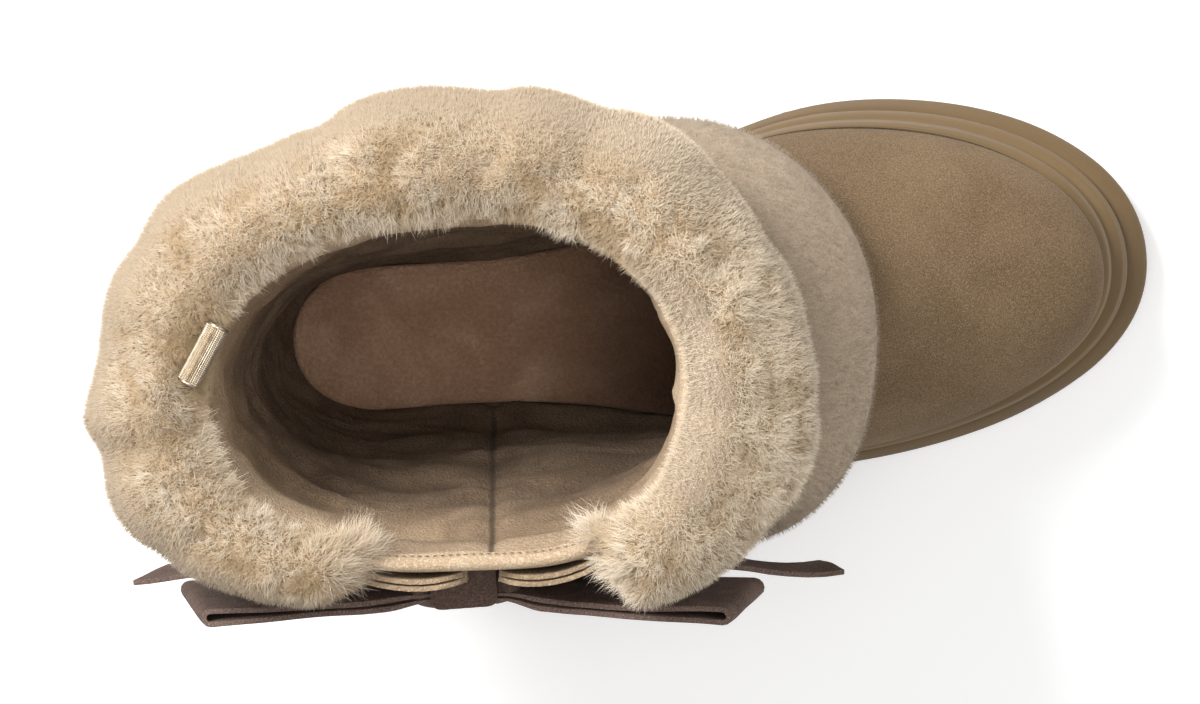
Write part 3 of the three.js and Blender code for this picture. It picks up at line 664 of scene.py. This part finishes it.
# Dark line where the suede goes down behind the sole's edge, and the seam inside the collar.
def buildSeams():
    work = weldedCopy("upper")
    foot = borderLoops(work, lambda face: face.normal.z < -0.9 and face.calc_center_median().z < 0.045)[0]
    collar = borderLoops(work, lambda face: face.normal.z > 0.9 and face.calc_center_median().z > 0.185)[-1]
    work.free()
    chords = [foot[i - 1] - foot[(i + 1) % len(foot)] for i in range(len(foot))]
    outward = [chord.cross(Vector((0, 0, 1))).normalized() for chord in chords]
    if outward[0].dot(foot[0] - Vector((0.09, 0.0, foot[0].z))) < 0:
        outward = [-step for step in outward]
    foot = [p + step * 0.0003 + Vector((0, 0, 0.0016)) for p, step in zip(foot, outward)]
    addPiece("footSeam", seamMesh("footSeam", foot, seamShape["thick"]), [darkSeam], None)
    middle = Vector((0.036, 0.0, 0.0))
    start = next(i for i in range(len(collar)) if collar[i].y > 0.0 >= collar[(i + 1) % len(collar)].y)
    collar = [p for p in collar[start:] + collar[:start] if p.y < seamShape["stitchesTo"]]
    collar = [Vector((p.x, p.y, seamShape["stitchHeight"]))
              + (Vector((p.x, p.y, 0)) - middle).normalized() * 0.0005 for p in collar]
    stitches = bmesh.new()
    size = Matrix.Diagonal((seamShape["stitch"] / 2, seamShape["stitchThick"], seamShape["stitchThick"], 1.0))
    travelled, due = 0.0, 0.0
    for first, second in zip(collar, collar[1:]):
        reach = (second - first).length
        while due < travelled + reach:
            spot = first.lerp(second, (due - travelled) / reach)
            turn = (second - first).normalized().to_track_quat("X", "Z").to_matrix().to_4x4()
            place = Matrix.Translation(spot) @ turn @ size
            bmesh.ops.create_icosphere(stitches, subdivisions=1, radius=1.0, matrix=place)
            due += seamShape["step"]
        travelled += reach
    addPiece("collarStitches", toMesh(stitches, "collarStitches"), [collarThread], None)


buildUpper()
buildInsole()
buildSeams()
print("upper and footbed built")


# Bow.
bowShape = {
    "edgeRound": 0.0003, "wave": 0.0007, "waveScale": 45.0, "pinch": 0.4, "pinchReach": 0.022,
    "pleat": 0.0008, "pleatCount": 4, "pleatSpan": 0.04, "tailLift": 0.0036,
}


def buildRibbon(node, name):
    work = weldedCopy(node)
    roundEdges(work, bowShape["edgeRound"])
    tall = [edge for edge in work.edges if abs((edge.verts[0].co - edge.verts[1].co).z) > 0.012]
    bmesh.ops.subdivide_edges(work, edges=tall, cuts=11, use_grid_fill=True)
    long = [edge for edge in work.edges if abs((edge.verts[0].co - edge.verts[1].co).x) > 0.004]
    bmesh.ops.subdivide_edges(work, edges=long, cuts=3, use_grid_fill=True)
    mesh = toMesh(work, name)
    places, _ = readPoints(mesh)
    shift = noiseAt(places * np.array([1.0, 0.0, 1.3]), bowShape["waveScale"], 7.0) * bowShape["wave"]
    low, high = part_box("bow_knot")
    middle = Vector(low).lerp(Vector(high), 0.5)
    away = np.abs(places[:, 0] - middle.x) - (high[0] - low[0]) / 2
    near = 1.0 - smoothStep(0.0, bowShape["pinchReach"], away)
    if "Loop" in name:
        turns = (places[:, 2] - middle.z) * bowShape["pleatCount"] / bowShape["pleatSpan"]
        shift += near * bowShape["pleat"] * np.sin(turns * 2 * math.pi)
        places[:, 2] = middle.z + (places[:, 2] - middle.z) * (1.0 - bowShape["pinch"] * near)
        lineY = low[1] + 0.0042 - 0.12 * np.maximum(places[:, 0] - 0.055, 0.0)
        tight = 1.0 - smoothStep(0.0, 0.012, away)
        places[:, 1] += (lineY - places[:, 1]) * 0.5 * tight
        places[:, 0] -= np.sign(places[:, 0] - middle.x) * 0.0016 * (away < 0.001)
    if name == "bowTailFront":
        shift += bowShape["tailLift"] * (away / away.max()) ** 2
    places[:, 1] += shift
    writePoints(mesh, places)
    mesh.set_sharp_from_angle(angle=math.radians(50))
    _, facing = readFaces(mesh)
    cut = (np.abs(facing[:, 2]) > 0.6).astype(np.int32)
    piece = addPiece(name, mesh, [brownSuede, cutEdge], node)
    mesh.polygons.foreach_set("material_index", cut)
    return piece


for node, name in (("bow_loop_rear", "bowLoopRear"), ("bow_loop_front", "bowLoopFront"),
                   ("bow_tail_rear", "bowTailRear"), ("bow_tail_front", "bowTailFront")):
    buildRibbon(node, name)


knotShape = {"rows": 12, "columns": 14, "pleats": 5.0, "pleatDepth": 0.00035, "pleatPinch": 0.04}


def buildKnot():
    work = weldedCopy("bow_knot", pair=False)
    low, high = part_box("bow_knot")
    for step in range(1, knotShape["rows"]):
        sliceAt(work, (0, 0, low[2] + (high[2] - low[2]) * step / knotShape["rows"]), (0, 0, 1))
    for step in range(1, knotShape["columns"]):
        sliceAt(work, (low[0] + (high[0] - low[0]) * step / knotShape["columns"], 0, 0), (1, 0, 0))
    mesh = toMesh(work, "bowKnot")
    places, _ = readPoints(mesh)
    middle = (low[2] + high[2]) / 2
    pleat = np.sin((places[:, 0] - low[0]) / (high[0] - low[0]) * math.pi * knotShape["pleats"])
    inner = smoothStep(0.0, 0.004, high[2] - places[:, 2]) * smoothStep(0.0, 0.004, places[:, 2] - low[2])
    onFace = places[:, 1] < low[1] + 0.004
    places[:, 1] += np.where(onFace, knotShape["pleatDepth"] * pleat * inner, 0.0)
    places[:, 2] = middle + (places[:, 2] - middle) * (1.0 - knotShape["pleatPinch"] * np.abs(pleat))
    writePoints(mesh, places)
    mesh.set_sharp_from_angle(angle=math.radians(50))
    return addPiece("bowKnot", mesh, [brownSuede], "bow_knot")


gatherShape = {"reach": 0.0085, "thick": 0.0052, "pleats": 5, "depth": 0.0006}


# Beside the knot both loops are drawn together in folds.
def buildGathers():
    low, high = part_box("bow_knot")
    work = bmesh.new()
    for side in (-1, 1):
        made = bmesh.ops.create_uvsphere(work, u_segments=48, v_segments=32, radius=1.0)["verts"]
        edgeX = low[0] + 0.001 if side < 0 else high[0] - 0.001
        for vert in made:
            x, y, z = vert.co
            away = abs(x)
            fold = math.cos(z * math.pi * gatherShape["pleats"]) * gatherShape["depth"] * (1.0 - away) * 1.5
            flare = 0.55 + 0.45 * smoothStep(0.0, 1.0, x * side)
            vert.co.x = edgeX + x * gatherShape["reach"]
            vert.co.y = low[1] + 0.0048 + y * gatherShape["thick"] + math.copysign(fold, y)
            vert.co.z = (low[2] + high[2]) / 2 + z * (high[2] - low[2]) * 0.52 * flare * 1.35
    mesh = toMesh(work, "bowGathers")
    return addPiece("bowGathers", mesh, [brownSuede], None)


buildKnot()
buildGathers()
print("bow built")

# Tabs.
tabShape = {"layer": 0.4, "edgeRound": 0.00025}  # layer is its share of the tab's thickness


# A folded strip: two layers of suede with a slot between them that closes at the tip.
def buildTab(node, name):
    low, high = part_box(node)
    tipX = high[0] if node == "tab_rear" else low[0]
    work = bmesh.new()
    for outer in (True, False):
        layer = weldedCopy(node, pair=False)
        moves = []
        for vert in layer.verts:
            edge = max(vert.link_edges,
                       key=lambda e: abs(e.verts[0].co.y - e.verts[1].co.y) / e.calc_length())
            twin = edge.other_vert(vert)
            if (vert.co.y < twin.co.y) != outer:
                apart = smoothStep(0.0008, 0.003, abs(vert.co.x - tipX))
                moves.append((vert, twin.co.lerp(vert.co, 0.5 + (tabShape["layer"] - 0.5) * apart)))
        for vert, place in moves:
            vert.co = place
        layerMesh = bpy.data.meshes.new("tabLayer")
        layer.to_mesh(layerMesh)
        layer.free()
        work.from_mesh(layerMesh)
        bpy.data.meshes.remove(layerMesh)
    bmesh.ops.join_triangles(work, faces=work.faces, angle_face_threshold=math.radians(20),
                             angle_shape_threshold=math.radians(80))
    roundEdges(work, tabShape["edgeRound"])
    mesh = toMesh(work, name)
    mesh.set_sharp_from_angle(angle=math.radians(50))
    return addPiece(name, mesh, [tabSuede], node)


buildTab("tab_rear", "tabRear")
buildTab("tab_front", "tabFront")
print("tabs built")

# Metal barrel.
barrelShape = {
    "radius": 0.00315, "length": 0.018, "around": 34, "rows": 30, "knurl": 0.00024, "rim": 0.0007,
    "bore": 0.4, "lipRound": 0.0003,
}


def grownFrom(work, edges):
    made = bmesh.ops.extrude_edge_only(work, edges=edges)["geom"]
    return ([item for item in made if isinstance(item, bmesh.types.BMEdge)],
            [item for item in made if isinstance(item, bmesh.types.BMVert)])


def buildBarrel():
    solid, _ = readPoints(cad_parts["toggle_barrel"].data)
    centre = (solid.min(axis=0) + solid.max(axis=0)) / 2
    _, axes = np.linalg.eigh(np.cov((solid - solid.mean(axis=0)).T))
    axis = Vector(axes[:, 2])
    work = bmesh.new()
    bmesh.ops.create_circle(work, segments=barrelShape["around"], radius=barrelShape["radius"])
    half, rim, rows = barrelShape["length"] / 2, barrelShape["rim"], barrelShape["rows"]
    steps = [rim, *[(barrelShape["length"] - 2 * rim) / rows] * rows, rim]
    edges = list(work.edges)
    bmesh.ops.translate(work, verts=work.verts, vec=(0, 0, -half))
    for step in steps:
        edges, points = grownFrom(work, edges)
        bmesh.ops.translate(work, verts=points, vec=(0, 0, step))
    for share, inward in ((barrelShape["bore"], 1.0), (1.0, 0.5)):
        _, points = grownFrom(work, [edge for edge in work.edges if edge.is_boundary])
        for vert in points:
            vert.co = (vert.co.x * share, vert.co.y * share, vert.co.z * inward)
    bmesh.ops.holes_fill(work, edges=[edge for edge in work.edges if edge.is_boundary], sides=0)
    bmesh.ops.recalc_face_normals(work, faces=work.faces)
    lip = [edge for edge in work.edges if edge.calc_face_angle(0.0) > 1.0
           and abs(abs(edge.verts[0].co.z) - half) < 1e-6
           and abs(edge.verts[0].co.z - edge.verts[1].co.z) < 1e-6]
    bmesh.ops.bevel(work, geom=lip, offset=barrelShape["lipRound"], segments=2, profile=0.5,
                    affect="EDGES", material=-1)
    side = [face for face in work.faces if abs(face.normal.z) < 0.1
            and abs(face.calc_center_median().z) < half - rim
            and face.calc_center_median().xy.length > barrelShape["radius"] * 0.9]
    bmesh.ops.poke(work, faces=side, offset=barrelShape["knurl"])
    turn = Vector((0, 0, 1)).rotation_difference(axis).to_matrix().to_4x4()
    bmesh.ops.transform(work, matrix=Matrix.Translation(Vector(centre)) @ turn, verts=work.verts)
    mesh = toMesh(work, "knurledBarrel", smooth=False)
    return addPiece("knurledBarrel", mesh, [paleGold], "toggle_barrel")


buildBarrel()
print("barrel built")

# Fur: the solid of each piece, dented and with an even skin, carries the strands.
cuffShape = {
    "closedInset": 0.0014, "openInset": 0.0034, "lobe": 0.0014, "lobeScale": 48.0, "clump": 0.0009,
    "clumpScale": 170.0, "dent": 0.0052, "dentScale": 44.0, "lift": 1.0,
    "valleys": [  # direction, half width and depth
        (114, 5, 0.0022), (152, 5, 0.002), (186, 4, 0.0022), (205, 4, 0.0015), (78, 4, 0.0012),
        (58, 5, 0.0015), (352, 3.5, 0.0015), (330, 4, 0.0015), (20, 4, 0.001)],
    "hollowDepth": 0.0014,
}
bandShape = {
    "closedInset": 0.0009, "openInset": 0.0009, "lobe": 0.0009, "lobeScale": 30.0, "clump": 0.00015,
    "clumpScale": 120.0, "dent": 0.0, "dentScale": 60.0, "lift": 0.15,
}
cuffMiddle = (0.04, 0.0)


def smoothed(values):
    padded = np.concatenate([values[-2:], values, values[:2]])
    return np.convolve(padded, [0.1, 0.2, 0.4, 0.2, 0.1], "valid")


# Inner and outer edge of the cuff in each direction, seen from above.
def cuffLimits():
    places, _ = readPoints(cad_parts["fur_cuff"].data)
    places = places[places[:, 2] > 0.17]
    reach = np.hypot(places[:, 0] - cuffMiddle[0], places[:, 1] - cuffMiddle[1])
    turn = np.arctan2(places[:, 1], places[:, 0] - cuffMiddle[0]) / (2 * math.pi)
    sector = (turn % 1.0 * 60).astype(int) % 60
    inner, outer = np.full(60, 1.0), np.zeros(60)
    np.minimum.at(inner, sector, reach)
    np.maximum.at(outer, sector, reach)
    inner = np.where(inner > 0.9, 0.055, inner)
    outer = np.where(outer <= 0.0, inner + 0.03, outer)
    return smoothed(inner), smoothed(outer)


innerLimit, outerLimit = cuffLimits()


# Share of the way from the cuff's inner edge to its outer edge, and the direction seen from above.
def acrossCuff(places):
    x, y = places[:, 0] - cuffMiddle[0], places[:, 1] - cuffMiddle[1]
    angle = np.arctan2(y, x)
    turn = (angle / (2 * math.pi)) % 1.0 * 60
    spots = np.arange(-1, 62)
    inner = np.interp(turn, spots, np.concatenate([innerLimit[-1:], innerLimit, innerLimit[:2]]))
    outer = np.interp(turn, spots, np.concatenate([outerLimit[-1:], outerLimit, outerLimit[:2]]))
    return (np.hypot(x, y) - inner) / np.maximum(outer - inner, 0.004), angle


# How open the pile is: combed up and mottled along the crest, closed and smooth outside it.
def cuffOpenness(places):
    across, angle = acrossCuff(places)
    front = smoothStep(0.76, 0.96, np.cos(angle + 0.1))
    crest = 1.0 - smoothStep(0.5, 0.88, across)
    slope = smoothStep(0.3, 0.5, across) * (1.0 - smoothStep(0.8, 1.0, across))
    patches = noiseAt(places, 46.0, 21.0)
    top = smoothStep(0.172, 0.184, places[:, 2])
    opened = (crest * (1.0 - front) + slope * front) * top * (0.95 + 0.6 * patches)
    return np.clip(opened, 0.0, 1.0), across, angle, front


# Hollows between the clumps of the open pile, and the recess round the barrel; the value also darkens the
# strands there as painted shade.
def hollowsAt(places, opened):
    wide = smoothStep(-0.05, 0.35, noiseAt(places, 120.0, 31.0))
    fine = smoothStep(0.0, 0.4, noiseAt(places, 300.0, 37.0))
    low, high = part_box("toggle_barrel")
    middle = (np.array(low) + np.array(high)) / 2
    recess = 1.0 - smoothStep(0.006, 0.014, np.linalg.norm((places - middle) * [1.0, 0.8, 0.8], axis=1))
    return np.clip(opened * (0.75 * wide + 0.55 * fine) + recess, 0.0, 1.0)


# Soft valleys where the roll is drawn in between its lobes, running across it.
def valleysAt(places, angle):
    turn = np.degrees(angle) % 360.0
    depth = np.zeros(len(places))
    for centre, width, amount in cuffShape["valleys"]:
        away = np.abs((turn - centre + 180.0) % 360.0 - 180.0)
        depth += amount * np.exp(-(away / width) ** 2)
    return depth


def buildFurBase(node, name, shape, material, keepOff, openness):
    mesh = smoothedMesh(toMesh(weldedCopy(node), name), 2)
    places, normals = readPoints(mesh)
    free = keepOff(places, normals)
    opened = openness(places)
    move = shape["lobe"] * noiseAt(places, shape["lobeScale"], 11.0)
    move += shape["clump"] * noiseAt(places, shape["clumpScale"], 13.0) * opened
    if shape["dent"]:
        _, across, angle, front = cuffOpenness(places)
        slope = front * (1.0 - smoothStep(0.3, 0.6, across))
        dents = np.clip(noiseAt(places, shape["dentScale"], 17.0) - 0.05, 0.0, 1.0)
        move -= shape["dent"] * dents * 2.2 * slope
    move -= shape["closedInset"] * (1.0 - opened) + shape["openInset"] * opened
    if opened.any():
        move -= cuffShape["hollowDepth"] * hollowsAt(places, opened)
        move -= valleysAt(places, acrossCuff(places)[1])
    writePoints(mesh, places + normals * (move * free)[:, None])
    held = mesh.attributes.new("openPile", "FLOAT", "POINT")
    held.data.foreach_set("value", opened.astype(np.float32))
    _, normals = readPoints(mesh)
    mesh.normals_split_custom_set_from_vertices((normals + [0.0, 0.0, shape["lift"]]).astype(np.float32))
    return addPiece(name, mesh, [material], node)


# Where the cuff's inner wall lies against the collar.
def cuffSeat(places, normals):
    x, y = places[:, 0] - cuffMiddle[0], places[:, 1] - cuffMiddle[1]
    inward = -(normals[:, 0] * x + normals[:, 1] * y) / np.maximum(np.hypot(x, y), 0.001)
    return smoothStep(0.1, 0.5, inward) * (1.0 - smoothStep(0.1865, 0.1895, places[:, 2]))


collarRing = {"middle": 0.036, "long": 0.071, "wide": 0.052}


def cuffFree(places, normals):
    ring = np.hypot((places[:, 0] - collarRing["middle"]) / collarRing["long"],
                    places[:, 1] / collarRing["wide"])
    return (1.0 - cuffSeat(places, normals)) * (smoothStep(1.0, 1.25, ring) * 0.6 + 0.4)


def bandFree(places, normals):
    outward = normals[:, 0] * (places[:, 0] - 0.04) + normals[:, 1] * places[:, 1]
    return smoothStep(0.0, 0.012, outward)


cuffBase = buildFurBase("fur_cuff", "cuffUnderFur", cuffShape, cuffUnder, cuffFree,
                        lambda places: cuffOpenness(places)[0])
bandBase = buildFurBase("fur_shaft", "bandUnderFur", bandShape, bandUnder, bandFree,
                        lambda places: np.zeros(len(places)))
print("fur bodies built")


# One needle of pile, straight or with a joint halfway for curled hair.
def needleTemplate(jointed):
    work = bmesh.new()
    bmesh.ops.create_cone(work, cap_ends=False, segments=3, radius1=1.0, radius2=0.0, depth=1.0)
    bmesh.ops.remove_doubles(work, verts=work.verts, dist=1e-4)
    bmesh.ops.translate(work, verts=work.verts, vec=(0, 0, 0.5))
    if jointed:
        sliceAt(work, (0, 0, 0.5), (0, 0, 1))
        bmesh.ops.triangulate(work, faces=work.faces)
        for vert in work.verts:
            if abs(vert.co.z - 0.5) < 0.01:
                vert.co.x *= 1.5
                vert.co.y *= 1.5
    bmesh.ops.recalc_face_normals(work, faces=work.faces)
    work.verts.ensure_lookup_table()
    corners = np.array([v.co[:] for v in work.verts])
    faces = np.array([[v.index for v in face.verts] for face in work.faces])
    first = corners[faces[0]]
    away = first.mean(axis=0) - [0, 0, corners[:, 2].mean()]
    outward = np.dot(np.cross(first[1] - first[0], first[2] - first[0]), away)
    work.free()
    return corners, faces if outward > 0 else faces[:, ::-1]


straightNeedle = needleTemplate(False)
curledNeedle = needleTemplate(True)


# Copies of the needle, one for each root, as one mesh. Each strand has its own small place in the UV map.
def strandMesh(name, needle, roots, directions, lengths, radii, shade, soft, curl, flat):
    corners, needleFaces = needle
    count = len(roots)
    steep = np.abs(directions[:, 2:3]) > 0.9
    turn = unit(np.cross(directions, np.where(steep, [[1.0, 0.0, 0.0]], [[0.0, 0.0, 1.0]])))
    other = np.cross(directions, turn)
    x, y, z = corners[:, 0], corners[:, 1], corners[:, 2]
    bend = 4.0 * z * (1.0 - z)
    places = (roots[:, None, :]
              + turn[:, None, :] * (x[None, :, None] * radii[:, None, None])
              + other[:, None, :] * (y[None, :, None] * radii[:, None, None])
              + directions[:, None, :] * (z[None, :, None] * lengths[:, None, None])
              + curl[:, None, :] * (bend[None, :, None] * lengths[:, None, None]))
    sideways = turn[:, None, :] * x[None, :, None] + other[:, None, :] * y[None, :, None]
    normals = soft[:, None, :] + (1.0 - flat)[:, None, None] * 0.5 * sideways + 0.2 * directions[:, None, :]
    normals = unit(normals)
    perNeedle, perFace = len(corners), len(needleFaces)
    faces = (needleFaces[None, :, :] + (np.arange(count) * perNeedle)[:, None, None]).reshape(-1)
    mesh = bpy.data.meshes.new(name)
    mesh.vertices.add(count * perNeedle)
    mesh.vertices.foreach_set("co", places.astype(np.float32).ravel())
    mesh.loops.add(len(faces))
    mesh.loops.foreach_set("vertex_index", faces.astype(np.int32))
    mesh.polygons.add(count * perFace)
    mesh.polygons.foreach_set("loop_start", np.arange(0, len(faces), 3, dtype=np.int32))
    mesh.update(calc_edges=True)
    held = mesh.attributes.new("strand", "FLOAT_COLOR", "POINT")
    values = np.empty((count, perNeedle, 4))
    values[:, :, 0] = z[None, :]
    values[:, :, 1:] = shade[:, None, :]
    held.data.foreach_set("color", values.astype(np.float32).ravel())
    side = int(math.ceil(math.sqrt(count)))
    cell = np.stack([np.arange(count) % side, np.arange(count) // side], axis=1) / side
    spot = np.stack([0.5 + 0.28 * x, 0.08 + 0.84 * z], axis=1) / side
    onMap = (cell[:, None, :] + spot[None, :, :]).reshape(-1, 2)
    layer = mesh.uv_layers.new(name="OFBake")
    layer.uv.foreach_set("vector", onMap[faces].astype(np.float32).ravel())
    mesh.shade_smooth()
    mesh.normals_split_custom_set_from_vertices(normals.reshape(-1, 3).astype(np.float32))
    return mesh


# Roots are scattered over the base by area and density, then each strand leans with its clump.
def growFur(base, spec, zones):
    rng = np.random.default_rng(spec["seed"])
    mesh = base.data
    mesh.calc_loop_triangles()
    corners = np.empty(len(mesh.loop_triangles) * 3, np.int32)
    mesh.loop_triangles.foreach_get("vertices", corners)
    corners = corners.reshape(-1, 3)
    places, normals = readPoints(mesh)
    a, b, c = places[corners[:, 0]], places[corners[:, 1]], places[corners[:, 2]]
    area = np.linalg.norm(np.cross(b - a, c - a), axis=1) / 2
    middle = (a + b + c) / 3
    outward = normals[corners].mean(axis=1)
    density = zones(middle, outward)["density"]
    weight = area * density
    count = int(min(weight.sum() * spec["perSquareMetre"], spec["most"]))
    picked = rng.choice(len(corners), size=count, p=weight / weight.sum())
    u, v = rng.random(count), rng.random(count)
    over = u + v > 1
    u[over], v[over] = 1 - u[over], 1 - v[over]
    w = 1 - u - v
    roots = a[picked] * w[:, None] + b[picked] * u[:, None] + c[picked] * v[:, None]
    first, second, third = (normals[corners[picked][:, column]] for column in range(3))
    up = unit(first * w[:, None] + second * u[:, None] + third * v[:, None])
    zone = zones(roots, up)
    combed = unit(up + zone["comb"] + rng.normal(0.0, 1.0, (count, 3)) * zone["jitter"][:, None])
    lengths = spec["length"] * zone["length"] * rng.uniform(0.75, 1.15, count)
    # Clumps: strands near a clump's middle lean towards its tip.
    centres = rng.choice(count, size=max(count // spec["clumpSize"], 1), replace=False)
    lean = rng.normal(0.0, 1.0, (len(centres), 3)) * zone["swirl"][centres, None]
    aim = unit(combed[centres] + lean)
    clumpTips = roots[centres] + aim * (lengths[centres] * 1.05)[:, None]
    tree = kdtree.KDTree(len(centres))
    for index, place in enumerate(roots[centres]):
        tree.insert(place, index)
    tree.balance()
    nearest = np.array([tree.find(place)[1] for place in roots])
    tips = roots + combed * lengths[:, None]
    pull = zone["pull"] * rng.uniform(0.6, 1.0, count)
    tips = tips * (1 - pull[:, None]) + clumpTips[nearest] * pull[:, None]
    reach = tips - roots
    far = np.linalg.norm(reach, axis=1)
    directions = reach / np.maximum(far, 1e-6)[:, None]
    lengths = np.minimum(far, lengths * 1.15)
    clumpTone = rng.random(len(centres))
    # Painted shade: strands deep in hollows get a lower tone, and painted light lifts the tone on the front
    # and lateral side of the cuff.
    tone = (0.5 * rng.random(count) + 0.5 * clumpTone[nearest]) * (1.0 - 0.7 * zone["deepShade"]) + zone["paintedLight"]
    shade = np.stack([tone, zone["open"], zone["deepShade"]], axis=1)
    radii = spec["radius"] * rng.uniform(0.8, 1.25, count)
    soft = up * 0.75 + directions * 0.3 + np.array([0.0, 0.0, spec["lift"]])
    curl = np.cross(directions, rng.normal(0.0, 1.0, (count, 3)))
    curl *= (spec["curl"] * rng.uniform(0.4, 1.0, count) / np.linalg.norm(curl, axis=1))[:, None]
    roots = roots - directions * 0.0005
    order = np.argsort(roots[:, 0])
    pieces = spec["pieces"]
    needle = curledNeedle if spec["curl"] else straightNeedle
    for part in range(pieces):
        some = order[part * count // pieces:(part + 1) * count // pieces]
        made = strandMesh(f"{spec['name']}{part + 1}", needle, roots[some], directions[some], lengths[some],
                          radii[some], shade[some], soft[some], curl[some], 1.0 - zone["open"][some])
        addPiece(made.name, made, [spec["material"]], None)
        print(made.name, len(made.polygons), "triangles")


quickShare = 1.0
cuffFur = {
    "name": "cuffPile", "seed": 41, "perSquareMetre": 9.0e6 * quickShare, "most": int(126000 * quickShare),
    "pieces": 3, "length": 0.0048, "radius": 0.000115, "clumpSize": 16, "curl": 0.0, "lift": 1.5,
    "material": cuffStrands, "slot": "long_fur",
}
cuffCurls = {
    "name": "cuffCurls", "seed": 52, "perSquareMetre": 8.0e6 * quickShare, "most": int(33000 * quickShare),
    "pieces": 2, "length": 0.0052, "radius": 0.00009, "clumpSize": 9, "curl": 0.24, "lift": 1.5,
    "material": cuffStrands, "slot": "long_fur",
}
bandFur = {
    "name": "bandPile", "seed": 77, "perSquareMetre": 4.0e6 * quickShare, "most": int(46000 * quickShare),
    "pieces": 1, "length": 0.0021, "radius": 0.00008, "clumpSize": 40, "curl": 0.0, "lift": 0.2,
    "material": bandStrands, "slot": "short_fur",
}


def cuffZones(places, normals):
    opened, across, angle, front = cuffOpenness(places)
    under = smoothStep(-0.9, -0.3, normals[:, 2])
    density = (1.0 - cuffSeat(places, normals)) * (0.12 + 0.88 * under) * (0.4 + 0.6 * opened)
    edge = (1.0 - smoothStep(0.0, 0.16, across)) * (1.0 - front)
    deepShade = hollowsAt(places, opened)
    lateral = smoothStep(0.028, 0.036, -places[:, 1]) * smoothStep(0.165, 0.175, places[:, 2])
    rearEnd = lateral * smoothStep(-0.006, 0.006, places[:, 0]) * (places[:, 0] < 0.04)
    frontEnd = lateral * (1.0 - smoothStep(0.078, 0.09, places[:, 0])) * (places[:, 0] > 0.04)
    ends = rearEnd + frontEnd
    corner = smoothStep(0.35, 0.8, np.cos(angle - math.radians(218.0))) * (1.0 - smoothStep(0.0, 0.3, across))
    comb = np.zeros_like(places)
    comb[:, 0] = -np.cos(angle) * (edge * 0.9 + corner)
    comb[:, 1] = -np.sin(angle) * (edge * 0.9 + corner)
    comb[:, 2] = -0.25 * (1.0 - opened) * (1.0 - edge) - 0.3 * edge
    comb[:, 0] += 0.8 * rearEnd - 0.9 * frontEnd
    comb[:, 1] += 0.35 * rearEnd + 0.35 * frontEnd
    length = 0.48 + 0.72 * opened + 0.5 * edge + 0.75 * ends + 0.8 * corner + 0.25 * front
    return {
        "density": density, "comb": comb, "jitter": 0.16 + 0.14 * opened + 0.12 * front * (1.0 - opened),
        "length": length * (1.0 - 0.3 * deepShade),
        "pull": 0.1 + 0.42 * opened + 0.2 * edge + 0.15 * ends, "swirl": 0.15 + 0.6 * opened, "open": opened,
        # Painted light: the pile on the front and lateral side of the cuff is made paler; hollows get painted
        # shade.
        "deepShade": deepShade, "paintedLight": 0.34 * smoothStep(-0.1, 0.8, np.cos(angle + 0.5)),
    }


def curlZones(places, normals):
    zone = cuffZones(places, normals)
    zone["density"] = zone["density"] * np.clip(zone["open"] * 1.2 - 0.1, 0.0, 1.0)
    zone["jitter"] = zone["jitter"] + 0.35
    zone["pull"] = zone["pull"] * 0.6
    return zone


def bandZones(places, normals):
    free = bandFree(places, normals)
    fall = np.zeros_like(places)
    fall[:, 2] = -0.5
    one = np.ones(len(places))
    return {
        "density": free, "comb": fall, "jitter": 0.12 * one, "length": one, "pull": 0.1 * one,
        "swirl": 0.12 * one, "open": 0.0 * one, "deepShade": 0.0 * one, "paintedLight": 0.0 * one,
    }


growFur(cuffBase, cuffFur, cuffZones)
growFur(cuffBase, cuffCurls, curlZones)
growFur(bandBase, bandFur, bandZones)

# Floor.
floorWork = bmesh.new()
bmesh.ops.create_grid(floorWork, x_segments=2, y_segments=2, size=studio["floorSize"] / 2)
floorMesh = toMesh(floorWork, "floor")
floor = bpy.data.objects.new("floor", floorMesh)
bpy.context.scene.collection.objects.link(floor)
floorMaterial, floorTree, floorShader = newMaterial("floorPaper", 0.9)
floorTone = spread(floorTree, noiseValue(floorTree, objectVector(floorTree), 3.0), 0.3, 0.7)
floorTree.links.new(mixColour(floorTree, floorTone, studio["floorColour"], (0.91, 0.91, 0.91)),
                    floorShader.inputs["Base Color"])
floorShader.inputs["Emission Color"].default_value = (1.0, 1.0, 1.0, 1.0)
floorShader.inputs["Emission Strength"].default_value = studio["floorGlow"]
floorMesh.materials.append(floorMaterial)

added = [piece for piece in bpy.context.scene.objects
         if piece.type == "MESH" and piece.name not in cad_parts]
print("added triangles", sum(len(face.vertices) - 2 for piece in added for face in piece.data.polygons))
